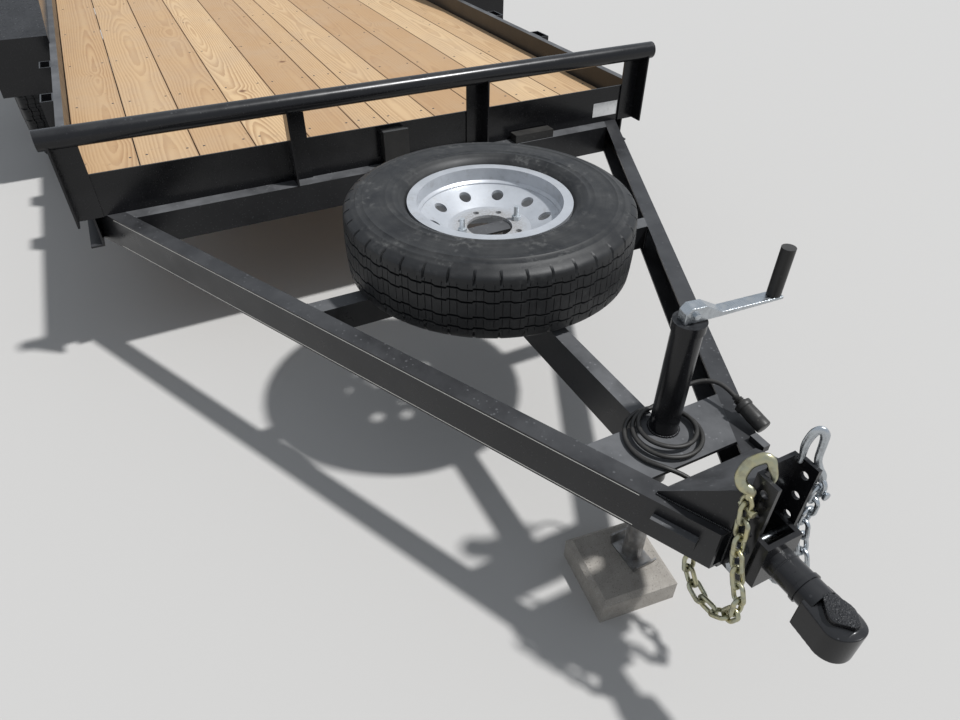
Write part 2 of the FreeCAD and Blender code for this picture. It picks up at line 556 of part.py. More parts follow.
# Crank: a boss on the cap, a bar that leads off to the left, and an upright grip.
crank = pad("crank_bar", "XZ_Plane",
            [("0 - 20", "0"), ("58", "4"), ("arm_reach", "14"), ("arm_reach", "14 + arm_thick"),
             ("58", "14"), ("20", "boss_high"), ("0 - 10", "boss_high"), ("0 - 20", "boss_high - 12")], "arm_width")
turn(crank, (0, 0, 1), "arm_turn")
place(crank, "jack_x - sin(arm_turn) * arm_width / 2", "cos(arm_turn) * arm_width / 2", "jack_top + cap_high")
keep(crank, "jack_crank")
GRIP_AT = "(arm_reach - grip_dia / 2)"
keep(cylinder("grip", "grip_dia", "grip_long", "jack_x + cos(arm_turn) * " + GRIP_AT, "sin(arm_turn) * " + GRIP_AT,
              "jack_top + cap_high + 14 + arm_thick"), "jack_grip")

# Wheels are turned about their own axis, with the outer face towards +z and the seat of the
# disc at z = 0. One tyre, one rim and one hub are made, and each wheel is a placed copy.
BEAD = "(bead_dia / 2)"
SEAT = "(rim_half - lip_thick)"
side_up = [("bead_dia / 2 + fit_gap", "%s - fit_gap" % SEAT), ("lip_dia / 2", "%s - fit_gap" % SEAT),
           ("lip_dia / 2 + 36", "tyre_width / 2"), ("tyre_dia / 2 - 44", "tyre_width / 2 - 3"),
           ("tyre_dia / 2", "tread_width / 2")]
tyre = revolve("tyre_turned", side_up + [(r, "0 - (%s)" % z) for r, z in reversed(side_up)])
BARREL = "(bead_dia / 2 - barrel_wall)"
rim_blank = revolve("rim_blank",
                    [("lip_dia / 2", "rim_half"), ("lip_dia / 2", SEAT), (BEAD, SEAT), (BEAD, "0 - " + SEAT),
                     ("lip_dia / 2", "0 - " + SEAT), ("lip_dia / 2", "0 - rim_half"), (BARREL, "0 - rim_half"),
                     (BARREL, "dish_rise - disc_wall"), ("disc_flat_dia / 2", "0"), ("bore_dia / 2", "0"),
                     ("bore_dia / 2", "disc_wall"), ("disc_flat_dia / 2 - 3", "disc_wall"),
                     (BARREL, "dish_rise"), (BARREL, "rim_half")])
ROUND = "%s / 2 * %s(%d * 360 / %s)"


def ring(name, count, circle, make):
    """One piece on each of the circle's equal divisions."""
    pieces = []
    for i in range(int(size(count))):
        item = make("%s_%d" % (name, i))
        item.setExpression("Placement.Base.x", link(ROUND % (circle, "cos", i, count)))
        item.setExpression("Placement.Base.y", link(ROUND % (circle, "sin", i, count)))
        pieces.append(item)
    return pieces


def round_bar(dia, long, low):
    def make(name):
        item = bind(doc.addObject("Part::Cylinder", name), Radius="(%s) / 2" % dia, Height=long)
        item.setExpression("Placement.Base.z", link(low))
        return item
    return make


def hexagon(width, long, low):
    def make(name):
        item = bind(doc.addObject("Part::Prism", name), Circumradius="(%s) / 2" % width, Height=long)
        item.Polygon = 6
        item.setExpression("Placement.Base.z", link(low))
        return item
    return make


rim = cut("rim_drilled", rim_blank,
          *ring("lug_hole", "lug_count", "lug_circle", round_bar("lug_dia", "3 * disc_wall", "0 - disc_wall")),
          *ring("vent", "vent_count", "vent_circle", round_bar("vent_dia", "2 * dish_rise", "0 - dish_rise / 2")))
BORE = "(spindle_dia / 2 + fit_gap)"
hub_body = revolve("hub_body",
                   [(BORE, "backing_thick - drum_deep"), ("hub_dia / 2", "backing_thick - drum_deep"),
                    ("hub_dia / 2", "0 - drum_wall"), ("drum_dia / 2 - drum_wall", "0 - drum_wall"),
                    ("drum_dia / 2 - drum_wall", "0 - drum_deep"), ("drum_dia / 2", "0 - drum_deep"),
                    ("drum_dia / 2", "0"), ("hub_dia / 2", "0"), ("hub_dia / 2", "disc_wall + hub_rise"),
                    ("hub_cap_dia / 2", "disc_wall + hub_rise"), ("hub_cap_dia / 2 - 4", "disc_wall + cap_out"),
                    ("0", "disc_wall + cap_out"), ("0", "disc_wall + hub_rise"), (BORE, "disc_wall + hub_rise")])
hub = fuse("hub_whole", hub_body,
           *ring("stud", "lug_count", "lug_circle", round_bar("stud_dia", "drum_wall + disc_wall + nut_high + 4",
                                                              "0 - drum_wall")),
           *ring("nut", "lug_count", "lug_circle", hexagon("nut_width", "nut_high", "disc_wall")))


def wheel_piece(name, source, x, y, z, turned):
    item = group(name, source)
    item.Placement = FreeCAD.Placement(FreeCAD.Vector(), FreeCAD.Rotation(FreeCAD.Vector(1, 0, 0), turned))
    return place(item, x, y, z)


AXLES = (("front", "0 - axle_fore"), ("rear", "0 - axle_fore - axle_spread"))
for axle, x in AXLES:
    for side, y, turned in (("left", "wheel_y", -90), ("right", "0 - wheel_y", 90)):
        for what, source in (("tyre", tyre), ("rim", rim), ("hub", hub)):
            name = "%s_%s_%s" % (what, axle, side)
            keep(wheel_piece(name + "_placed", source, x, y, "spindle_z", turned), name)
    # A drop axle: the beam lies lower than the spindles, which its end arms carry.
    beam_z = "spindle_z - axle_drop"
    pieces = [cylinder("axle_beam_" + axle, "beam_tube", "2 * (arm_out - drop_arm)", x,
                       "drop_arm - arm_out", beam_z, "y")]
    for sign in (1, -1):
        tag = "%s_%d" % (axle, sign)
        pieces.append(box("arm_" + tag, "beam_tube", "drop_arm", "axle_drop + beam_tube", "(%s) - beam_tube / 2" % x,
                          "arm_out - drop_arm" if sign > 0 else "0 - arm_out", beam_z + " - beam_tube / 2"))
        plate_y = "wheel_y - drum_deep - plate_gap - backing_thick"
        pieces.append(cylinder("backing_" + tag, "drum_dia - 2 * drum_wall", "backing_thick", x,
                               plate_y if sign > 0 else "0 - (%s) - backing_thick" % plate_y, "spindle_z", "y"))
        pieces.append(cylinder("spindle_" + tag, "spindle_dia", "wheel_y + hub_rise - arm_out", x,
                               "arm_out" if sign > 0 else "0 - wheel_y - hub_rise", "spindle_z", "y"))
    keep(fuse("axle_whole_" + axle, *pieces), "axle_" + axle)

# Leaf springs above the axles, hung from the beams, with an equalizer between them.
SPRING_Z = "(spindle_z - axle_drop + beam_tube / 2 + fit_gap + seat_thick - seat_bite)"
leaf_curve = (size("spring_half") ** 2 + size("spring_camber") ** 2) / (2 * size("spring_camber"))
CURVE = "((spring_half * spring_half + spring_camber * spring_camber) / (2 * spring_camber))"
leaves = int(size("leaf_count"))


def leaf(name, x, order):
    """A bent leaf: a slice of a wide ring whose middle lies above the axle."""
    share = 0.45 + 0.55 * order / (leaves - 1)
    angle = 2 * math.degrees(math.asin(share * size("spring_half") / leaf_curve))
    discs = []
    for inner in (0, 1):
        disc = bind(doc.addObject("Part::Cylinder", "%s_disc_%d" % (name, inner)),
                    Radius="%s - %d * leaf_thick - %d * leaf_lap" % (CURVE, order + inner, inner),
                    Height="spring_width")
        disc.Angle = angle
        about_y = FreeCAD.Rotation(FreeCAD.Vector(1, 0, 0), 90)
        about_z = FreeCAD.Rotation(FreeCAD.Vector(0, 0, 1), -90 - angle / 2)
        disc.Placement = FreeCAD.Placement(FreeCAD.Vector(), about_y * about_z)
        discs.append(place(disc, x, "spring_y + spring_width / 2", SPRING_Z + " + " + CURVE))
    return cut(name, *discs)


EYE_Z = "(%s + leaf_count * leaf_thick - leaf_thick / 2 + spring_camber)" % SPRING_Z
MID = "0 - axle_fore - axle_spread / 2"
carriers = []
eyes = []
for axle, x in AXLES:
    carriers += [leaf("leaf_%s_%d" % (axle, order), x, order) for order in range(leaves)]
    top = "%s + leaf_count * leaf_thick" % SPRING_Z
    wide = "spring_width + 2.2 * ubolt_dia"
    strap_z = "spindle_z - axle_drop - beam_tube / 2 - fit_gap - seat_thick"
    clamp = [box("seat_" + axle, "2 * seat_half", wide, "seat_thick", "(%s) - seat_half" % x,
                 "spring_y - (%s) / 2" % wide, SPRING_Z + " - seat_thick + seat_bite"),
             box("clamp_" + axle, "2 * seat_half", wide, "seat_thick", "(%s) - seat_half" % x,
                 "spring_y - (%s) / 2" % wide, top + " - leaf_thick / 2"),
             box("strap_" + axle, "2 * seat_half", wide, "seat_thick", "(%s) - seat_half" % x,
                 "spring_y - (%s) / 2" % wide, strap_z)]
    for i, (across, along) in enumerate(((1, 1), (1, -1), (-1, 1), (-1, -1))):
        clamp.append(cylinder("ubolt_%s_%d" % (axle, i), "ubolt_dia",
                              "%s + 3 * seat_thick - (%s)" % (top, strap_z),
                              "(%s) + %d * (beam_tube / 2 + ubolt_dia / 2 + fit_gap)" % (x, along),
                              "spring_y + %d * (spring_width / 2 + ubolt_dia / 2 + fit_gap)" % across, strap_z))
    carriers += clamp
    for along in (1, -1):
        eyes.append(("%s_%d" % (axle, along), "(%s) + %d * spring_half" % (x, along)))
HANGER_WIDE = "(spring_width + 2 * hanger_gap + 2 * hanger_wall + 8)"
for name, x in eyes + [("middle", MID)]:
    carriers.append(cylinder("eye_" + name, "eye_dia", HANGER_WIDE, x, "spring_y - %s / 2" % HANGER_WIDE, EYE_Z, "y"))
for name, x in (eyes[0], eyes[3], ("middle", MID)):
    for sign in (1, -1):
        near = "spring_width / 2 + hanger_gap"
        low = "spring_y + " + near if sign > 0 else "spring_y - (%s) - hanger_wall" % near
        carriers.append(box("hanger_%s_%d" % (name, sign), "2 * eye_dia", "hanger_wall",
                            "%s - %s + eye_dia" % (LOW_BOTTOM, EYE_Z), "(%s) - eye_dia" % x, low,
                            EYE_Z + " - eye_dia"))
for sign in (1, -1):
    low = "spring_y + spring_width / 4" if sign > 0 else "spring_y - spring_width / 4 - hanger_wall"
    bar = pad("equalizer_%d" % sign, "XZ_Plane",
              [("spring_half - axle_spread / 2 - 18", "10"), ("spring_half - axle_spread / 2 - 18", "0 - 18"),
               ("0", "0 - 30"), ("axle_spread / 2 - spring_half + 18", "0 - 18"),
               ("axle_spread / 2 - spring_half + 18", "10"), ("0", "16")], "hanger_wall")
    carriers.append(place(bar, MID, "(%s) + hanger_wall" % low, EYE_Z))
springs = fuse_in_turn("springs", *carriers)
keep(springs, "suspension_left")
keep(mirrored("springs_m", springs), "suspension_right")

# Spare wheel, flat on the tongue with its outer face up, bolted to a saddle on the tie.
SPARE_X = "tie_back + tie_width / 2"
SPARE_Z = "(%s + tyre_width / 2 + fit_gap)" % LOW_TOP
for what, source in (("tyre", tyre), ("rim", rim)):
    keep(wheel_piece("spare_%s_placed" % what, source, SPARE_X, "0 - spare_y", SPARE_Z, 0), "spare_" + what)
SADDLE_Z = SPARE_Z + " - mount_plate"
saddle = [box("saddle_top", "tie_width", "2 * mount_half", "mount_plate", "tie_back", "0 - spare_y - mount_half",
              SADDLE_Z)]
for sign in (1, -1):
    middle = "0 - spare_y + %d * mount_leg" % sign
    saddle.append(box("saddle_leg_%d" % sign, "tie_width", "mount_plate", "tyre_width / 2 + fit_gap - mount_plate",
                      "tie_back", "%s - mount_plate / 2" % middle, LOW_TOP))
    bolt_y = "0 - spare_y + %d * lug_circle / 2" % sign
    saddle.append(cylinder("saddle_bolt_%d" % sign, "mount_bolt", "mount_plate + disc_wall + 40", SPARE_X, bolt_y,
                           SADDLE_Z))
    nut = hexagon("nut_width", "12", SPARE_Z + " + disc_wall")("saddle_nut_%d" % sign)
    saddle.append(place(nut, SPARE_X, bolt_y, SPARE_Z + " + disc_wall"))
keep(fuse("saddle", *saddle), "spare_mount")

# Fenders: one bent sheet over both wheels, an inner panel on the side rail and an outer lip.
LENGTH = "(axle_fore + axle_spread / 2 - fender_front)"
BEND_Z = "(deck_top + fender_bend)"
FLAT_Z = "(deck_top + fender_rise)"
RUN = "((fender_rise - fender_bend) / tan(fender_slope))"


def both_ends(corners):
    """Corners of the front half and, in turn, of the rear half of a symmetric outline."""
    return corners + [("0 - (%s)" % x, z) for x, z in reversed(corners)]


def fender_line(inward):
    """The fender's side outline, moved inward by a thickness."""
    x = "%s - (%s)" % (LENGTH, inward)
    return both_ends([(x, LOW_TOP), (x, "%s + (%s) * (tan(fender_slope) - 1 / cos(fender_slope))" % (BEND_Z, inward)),
                      ("%s - %s - (%s) * (1 / cos(fender_slope) - 1) / tan(fender_slope)" % (LENGTH, RUN, inward),
                       "%s - (%s)" % (FLAT_Z, inward))])


bent = pad("fender_bent", "XZ_Plane", fender_line("0") + fender_line("fender_sheet")[::-1], "fender_half - bed_half")
place(bent, MID, "fender_half")
panel_line = [(x, RAIL_TOP if z == LOW_TOP else z) for x, z in fender_line("0")]
panel = place(pad("fender_panel", "XZ_Plane", panel_line, "fender_sheet"), MID, "bed_half")
lip = pad("fender_lip_pad", "XZ_Plane",
          fender_line("fender_sheet") + fender_line("fender_sheet + fender_lip")[::-1], "fender_sheet")
place(lip, MID, "fender_half")
outriggers = []
for name, sign in (("front", 1), ("rear", -1)):
    face, tip, web = ("%d * (%s - (%s))" % (sign, LENGTH, inward)
                      for inward in ("0", "outrigger_flange", "outrigger_wall"))
    low, high = LOW_TOP + " - outrigger_deep", LOW_TOP
    arm = pad("outrigger_" + name, "XZ_Plane",
              [(face, low), (face, high), (tip, high), (tip, high + " - outrigger_wall"),
               (web, high + " - outrigger_wall"), (web, low + " + outrigger_wall"),
               (tip, low + " + outrigger_wall"), (tip, low)], "fender_half - bed_half + beam_inset")
    outriggers.append(place(arm, MID, "fender_half"))
fender = fuse("fender_whole", bent, panel, lip, *outriggers)
# Its seams are at the two upper bends, which leaves a top and an end over each wheel.
SEAM = "(%s - %s)" % (LENGTH, RUN)
spans = {"top": ("2 * " + SEAM, "0 - " + SEAM), "front": (RUN, SEAM), "rear": (RUN, "0 - " + LENGTH)}
for name, (long, back) in spans.items():
    span = box("fender_span_" + name, long, "fender_half", "2 * (fender_rise + rail_deep)",
               "%s + (%s)" % (MID, back), "bed_half / 2", LOW_BOTTOM)
    part = common("fender_part_" + name, fender, span)
    keep(part, "fender_%s_left" % name)
    keep(mirrored("fender_%s_m" % name, part), "fender_%s_right" % name)

# Tail lamps on the bumper, and the wiring boxes at the front of the bed.
lamps = []
for sign in (1, -1):
    back = "0 - bed_length - bumper_flange - lamp_thick"
    straight = "(lamp_width - lamp_high)"
    middle = "%d * lamp_y" % sign
    lens = [box("lamp_bar_%d" % sign, "lamp_thick", straight, "lamp_high", back, "%s - %s / 2" % (middle, straight),
                "(%s + deck_top - lamp_high) / 2" % LOW_BOTTOM)]
    for end in (1, -1):
        lens.append(cylinder("lamp_end_%d_%d" % (sign, end), "lamp_high", "lamp_thick", back,
                             "%s + %d * %s / 2" % (middle, end, straight), "(%s + deck_top) / 2" % LOW_BOTTOM, "x"))
    lamps.append(fuse("lamp_%d" % sign, *lens))
keep(group("lamps", *lamps), "tail_lamps")

base = box("wiring_base", "box_thick - 12", "box_width", "box_high", "0", "box_y - box_width / 2",
           RAIL_TOP + " - box_high - 12")
lid = box("wiring_lid", "12", "box_width + 8", "box_high + 8", "box_thick - 12", "box_y - box_width / 2 - 4",
          RAIL_TOP + " - box_high - 16")
branch = box("wiring_branch", "ledge_front - post_wall - 4", "shelf_box_long", "shelf_box_high", "post_wall",
             "shelf_box_y", LOW_TOP)
keep(group("wiring", fuse("wiring_whole", base, lid), branch), "wiring_boxes")


def mitred_bar(path, radii, sides, closed, frame, flatness=1):
    """A bar of a few flat sides along straight runs that lie in one plane, mitred where they meet.
    radii is one radius or one for each point. frame holds the plane's directions and its normal, and
    flatness is the bar's thickness along that normal over its width."""
    across, along, normal = frame
    count = len(path)
    radii = radii if isinstance(radii, (list, tuple)) else [radii] * count
    rings = []
    for i in range(count):
        before = path[i - 1] if closed or i else None
        after = path[(i + 1) % count] if closed or i < count - 1 else None
        here = path[i]
        runs = []
        if before:
            runs.append((here[0] - before[0], here[1] - before[1]))
        if after:
            runs.append((after[0] - here[0], after[1] - here[1]))
        runs = [(a / math.hypot(a, b), b / math.hypot(a, b)) for a, b in runs]
        way = (sum(a for a, b in runs), sum(b for a, b in runs))
        length = math.hypot(*way)
        side = (-way[1] / length, way[0] / length)
        stretch = len(runs) / length
        spots = []
        for k in range(sides):
            turned = 2 * math.pi * (k + 0.5) / sides
            flat = radii[i] * math.cos(turned) * stretch
            point = here[0] + side[0] * flat, here[1] + side[1] * flat
            spots.append(across * point[0] + along * point[1] + normal * (flatness * radii[i] * math.sin(turned)))
        rings.append(spots)
    faces = []
    for i in range(count if closed else count - 1):
        one, two = rings[i], rings[(i + 1) % count]
        for k in range(sides):
            corners = [one[k], one[(k + 1) % sides], two[(k + 1) % sides], two[k]]
            for three in ([0, 1, 2], [0, 2, 3]):
                spots = [corners[n] for n in three]
                faces.append(Part.Face(Part.makePolygon(spots + spots[:1])))
    if not closed:
        for spots in (rings[0], rings[-1]):
            faces.append(Part.Face(Part.makePolygon(spots + spots[:1])))
    solid = Part.Solid(Part.Shell(faces))
    if solid.Volume < 0:
        solid.reverse()
    return solid


def feature(name, shape):
    """A piece set in code, in the bed front's frame, then moved to its place."""
    item = doc.addObject("Part::Feature", name)
    item.Shape = shape
    return place(item)


# Safety chains: welded links of round wire, each turned a quarter against the last, from a
# hook that hangs over the channel's flange down in a loop and up under the nose.
WIRE = size("wire_dia") / 2
END_MID = size("link_long") / 2 - WIRE
SIDE_MID = size("link_wide") / 2 - WIRE
LINK = [(END_MID, 0.62 * SIDE_MID), (END_MID - 0.5 * SIDE_MID, SIDE_MID),
        (0.5 * SIDE_MID - END_MID, SIDE_MID), (-END_MID, 0.62 * SIDE_MID),
        (-END_MID, -0.62 * SIDE_MID), (0.5 * SIDE_MID - END_MID, -SIDE_MID),
        (END_MID - 0.5 * SIDE_MID, -SIDE_MID), (END_MID, -0.62 * SIDE_MID)]
LINK_INSIDE = size("link_long") - 2 * size("wire_dia")
LINK_PITCH = LINK_INSIDE - size("link_slack")


def step_along(route, here, index, reach):
    """The next point on the route's straight runs at a straight distance from here, and its run."""
    start = here
    while index < len(route) - 1:
        run_end = route[index + 1]
        if (run_end - here).Length >= reach:
            low, high = 0.0, 1.0
            for _ in range(40):
                middle = (low + high) / 2
                if (start + (run_end - start) * middle - here).Length < reach:
                    low = middle
                else:
                    high = middle
            return start + (run_end - start) * high, index
        start = run_end
        index += 1
    return None, index


def joints_along(route):
    """The joints of a chain from the route's first point on, one link apart. The first two runs are
    pulled straight, and in the bight the links need a little more room to turn."""
    joints, index = [route[0]], 0
    while True:
        reach = LINK_PITCH + (size("link_pull") if index < 2 else 0)
        after, index = step_along(route, joints[-1], index, reach)
        if after is None:
            return joints
        joints.append(after)


def sagged(route, sag):
    """The route with its low point this much lower, and its ends as they are."""
    ends = min(route[0].z, route[-1].z)
    depth = ends - min(point.z for point in route)
    return [point - FreeCAD.Vector(0, 0, sag * max(0, (ends - point.z) / depth)) for point in route]


def chain(route):
    """Links from joint to joint along the route, which sags until a whole number of links fits."""
    route = [FreeCAD.Vector(*point) for point in route]
    wanted = len(joints_along(route)) + 1
    low, high = 0.0, 2 * LINK_PITCH
    for _ in range(30):
        middle = (low + high) / 2
        if len(joints_along(sagged(route, middle))) < wanted:
            low = middle
        else:
            high = middle
    joints = joints_along(sagged(route, high))
    links = []
    for number, (here, after) in enumerate(zip(joints, joints[1:])):
        way = (after - here).normalize()
        flat = way.cross(FreeCAD.Vector(0, 1, 0)).normalize()
        wide = flat if number % 2 else flat.cross(way).normalize()
        solid = mitred_bar(LINK, WIRE, 6, True, (way, wide, way.cross(wide)))
        solid.translate((here + after) * 0.5)
        links.append(solid)
    return links


# Clevis hooks in their own planes: from the fork round the bight down to the tip. Each row is the
# distance from the flange's middle, the height over the flange's top edge, and half the bar's width.
HOOKS = {
    "right": ((2, -49, 7), (-3, -35, 10), (-17, -29.5, 11), (-29.5, -16, 11), (-34, -1, 11), (-33, 18, 11),
              (-20, 33, 11), (-8, 31, 10), (3, 18, 8), (13.6, 3, 6), (16.2, -7, 4.5)),
    "left": ((-30.5, -38, 7), (-26, -24, 8), (-17, -8, 7), (-10, 12, 6.5), (-7, 49, 7), (-4, 66, 8),
             (4.5, 74, 8), (12, 66, 8), (16, 50, 7.5), (17, 32, 7), (14.5, 10, 5.5), (14, -6, 4)),
}
# Where each hook crosses the flange, and how far its foot leans out, in degrees.
HOOK_AT = {"right": (1796, 28), "left": (1806, 0)}
FORK = [(-9.5, -28), (-9.5, -6), (0, 4), (9.5, -6), (9.5, -28)]
PIN_DROP = 22
PIN_RADIUS = 5
PLAIN = (FreeCAD.Vector(1, 0, 0), FreeCAD.Vector(0, 0, 1), FreeCAD.Vector(0, 1, 0))


def hook(points, across, up):
    """A hook with a flat bar, and at its foot a fork with a pin for the first link."""
    body = mitred_bar([point[:2] for point in points], [point[2] for point in points], 8, False,
                      (across, up, across.cross(up)), 0.65)
    foot = across * points[0][0] + up * points[0][1]
    fork = mitred_bar(FORK, 4.2, 6, False, PLAIN)
    fork.translate(foot)
    pin_at = foot - PLAIN[1] * PIN_DROP
    pin = Part.makeCylinder(PIN_RADIUS, 28.5, pin_at - PLAIN[0] * 13.5, PLAIN[0])
    head = Part.makeCylinder(8, 6, pin_at + PLAIN[0] * 15, PLAIN[0])
    return body.fuse([fork, pin, head]), pin_at


deck = size("deck_top")
edge = deck + size("channel_rise")
flange_middle = size("channel_half") - size("channel_wall") / 2
# The chains' way from their hooks past the bolt heads, round a bight in front of the channel and
# back up under the nose. Each row is a place from the bed front, one from the middle, and a drop.
BIGHT_X, BIGHT_DROP, BIGHT = 1801, 178, 64
CHAIN_ROUTE = [(1824, 79, 70)]
for degrees in (15, 0, -20, -45, -70, -90, -110, -135, -160, -178):
    turned = math.radians(degrees)
    CHAIN_ROUTE.append((BIGHT_X + BIGHT * math.cos(turned), 79 + 4 * (15 - degrees) / 193,
                        BIGHT_DROP - BIGHT * math.sin(turned)))
CHAIN_ROUTE.append((BIGHT_X - BIGHT, 84, 173.6))
for side, sign in (("left", 1), ("right", -1)):
    hook_x, lean = HOOK_AT[side]
    across = FreeCAD.Vector(-sign, -sign, 0).normalize()
    up = FreeCAD.Vector(0, -sign * math.sin(math.radians(lean)), math.cos(math.radians(lean)))
    over = FreeCAD.Vector(hook_x, sign * flange_middle, edge)
    whole, pin_at = hook(HOOKS[side], across, up)
    whole.translate(over)
    start = over + pin_at + FreeCAD.Vector(0, 0, PIN_RADIUS + 0.3)
    route = [start] + [(x, sign * y, deck - drop) for x, y, drop in CHAIN_ROUTE]
    solids = chain(route) + [whole]
    keep(feature("chain_" + side, Part.makeCompound(solids)), "safety_chain_" + side)

# Harness cable: out of the nose, twice round the jack on its plate, and over the rail to its plug.
CABLE = size("cable_dia") / 2
plate_top = deck + size("rail_rise") - size("rail_deep")
lying = plate_top + CABLE + 0.5
steps = 12
# outer loop and inner loop: middle x and y, radius
LOOPS = ((1546, -20, 88), (1532, -5, 60))
route = [(1720, -24, lying - 24), (1690, -24, lying - 22), (1664, -30, lying - 19), (1640, -47, lying - 7)]
start_angle = -40
for i in range(30):
    share = min(1, i / (2 * steps))
    mid_x, mid_y, radius = (a + (b - a) * share for a, b in zip(*LOOPS))
    angle = math.radians(start_angle - i * 360 / steps)
    route.append((mid_x + radius * math.cos(angle), mid_y + radius * math.sin(angle),
                  lying + (2 * CABLE + 1) * share + (0 if i else 3.5)))
# From the inner loop the cable swings out behind the jack and turns forward over the left rail.
route += [(1466, 45, lying + 16), (1462, 86, lying + 24), (1468, 124, lying + 34), (1488, 150, lying + 41),
          (1516, 161, lying + 41), (1543, 163, lying + 34.5)]


def tube(points, radius):
    """A tube of straight runs joined by tangent arcs, and the arcs' radii."""
    points = [FreeCAD.Vector(*point) for point in points]
    edges = []
    radii = []
    here = points[0]
    for before, corner, after in zip(points, points[1:], points[2:]):
        way_in = (corner - before).normalize()
        way_out = (after - corner).normalize()
        half = way_in.getAngle(way_out) / 2
        trim = 0.45 * min((corner - before).Length, (after - corner).Length)
        arc_radius = trim / math.tan(half)
        radii.append(arc_radius)
        first = corner - way_in * trim
        last = corner + way_out * trim
        inward = (way_out - way_in).normalize()
        middle = corner + inward * (arc_radius / math.cos(half) - arc_radius)
        edges.append(Part.LineSegment(here, first).toShape())
        edges.append(Part.Arc(first, middle, last).toShape())
        here = last
    edges.append(Part.LineSegment(here, points[-1]).toShape())
    path = Part.Wire(edges)
    start_way = (points[1] - points[0]).normalize()
    circle = Part.Wire([Part.Circle(points[0], start_way, radius).toShape()])
    return path.makePipeShell([circle], True, True), radii, path.Length


cable, radii, cable_length = tube(route, CABLE)
print("cable length %.0f mm, arcs from %.0f to %.0f mm" % (cable_length, min(radii), max(radii)))
print("cable volume against section times length: %.4f" % (cable.Volume / (math.pi * CABLE ** 2 * cable_length)))
keep(feature("cable", cable), "harness_cable")

# The plug lies over the left rail: a round body with a stepped neck and a hinged cap's lug.
plug_start = FreeCAD.Vector(*route[-1])
plug_way = (plug_start - FreeCAD.Vector(*route[-2])).normalize()
plug_steps = ((8, 16), (12, 22), (14, size("plug_dia")), (size("plug_long") - 34, size("plug_dia") - 4))
at = plug_start
plug_parts = []
for long, dia in plug_steps:
    plug_parts.append(Part.makeCylinder(dia / 2, long, at, plug_way))
    at = at + plug_way * long
plug = plug_parts[0].fuse(plug_parts[1:]).removeSplitter()
keep(feature("plug", plug), "harness_plug")

doc.recompute()
for item in doc.Objects:
    if "Invalid" in item.State or "Error" in item.State:
        raise RuntimeError("%s did not build: %s" % (item.Name, item.State))
for item in kept:
    if item.Shape.isNull() or not item.Shape.isValid():
        raise RuntimeError("%s has no valid shape" % item.Label)
for item in kept:
    item.Shape.exportStep("parts/%s.step" % item.Label)
print("%d sub-parts written" % len(kept))
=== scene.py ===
# %% [markdown]
# # A flatbed trailer with a plank deck
# The real trailer is a welded steel frame with sawn planks, four wheels on two axles, a spare, a
# jack that stands on a paver and two safety chains. Its solid pieces come from the imported CAD frame
# and stay where they are. A CAD frame has flat colours, sharp edges and few small things, so this
# script adds what it leaves out: finishes, tread, wood screws, weld beads, tape stripes, a round
# cable, and smooth chain links and hooks.
#
# The frame is read first. Nothing may stand outside it at the end.

import math

import bmesh
import bpy
import numpy as np
from mathutils import Matrix, Vector


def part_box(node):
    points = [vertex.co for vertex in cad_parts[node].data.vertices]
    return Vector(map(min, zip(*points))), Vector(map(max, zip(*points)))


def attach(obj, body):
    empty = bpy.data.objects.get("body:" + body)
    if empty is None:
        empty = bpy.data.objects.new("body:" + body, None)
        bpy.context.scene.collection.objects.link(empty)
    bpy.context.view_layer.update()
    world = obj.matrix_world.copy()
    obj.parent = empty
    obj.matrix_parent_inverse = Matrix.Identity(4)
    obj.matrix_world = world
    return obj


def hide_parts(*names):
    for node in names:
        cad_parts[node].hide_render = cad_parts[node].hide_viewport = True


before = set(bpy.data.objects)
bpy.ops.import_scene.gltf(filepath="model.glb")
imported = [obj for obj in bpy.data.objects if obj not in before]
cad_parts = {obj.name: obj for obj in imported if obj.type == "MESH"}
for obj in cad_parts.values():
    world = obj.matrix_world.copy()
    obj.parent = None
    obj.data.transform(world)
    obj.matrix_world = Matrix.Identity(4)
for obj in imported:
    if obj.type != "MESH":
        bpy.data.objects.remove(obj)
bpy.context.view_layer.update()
scene = bpy.context.scene
print("frame has", len(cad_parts), "nodes")

# %% [markdown]
# Every place below is given in millimetres from the middle of the bed's front edge, at the deck's
# top: forward, to the trailer's left, and up. Places could be given in the frame's own metres, but
# these are the ones that a tape measure gives on the real trailer. The edge and the deck are read
# from the frame, so a piece follows the steel that carries it.

# %% Places from the bed's front edge
BED_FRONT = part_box("header")[1].x
DECK_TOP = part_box("deck_planks")[1].z
# One millimetre in metres, and the distance in metres below which two points count as one.
MM = 0.001
SAME_PLACE = 1e-6


def at(forward, left, up):
    """A place on the trailer, in metres of the frame."""
    return Vector((BED_FRONT + forward * MM, left * MM, DECK_TOP + up * MM))


print("bed front at", round(BED_FRONT, 4), "deck top at", round(DECK_TOP, 4))

# %% [markdown]
# ## The camera
# A camera can be placed by eye or solved. This one was solved from the straight edges of the bed
# and the tongue, which gives its place, the way it looks, its slight roll and its lens. Placing it
# by eye leaves errors in all of these at once, and each then looks like a fault in the model.

# %% Set the camera
EYE = Vector((3.4017, -0.8086, 1.5273))
# Three angles in radians: down from level, from the trailer's length, and about the line of sight.
LOOK_DOWN, HEADING, ROLL = 0.687, 0.477, -0.011
LENS, SENSOR_WIDE, SEES_TO = 25.515, 36, 200


def linked(name, data):
    """A new object of some data, in the scene."""
    made = bpy.data.objects.new(name, data)
    scene.collection.objects.link(made)
    return made


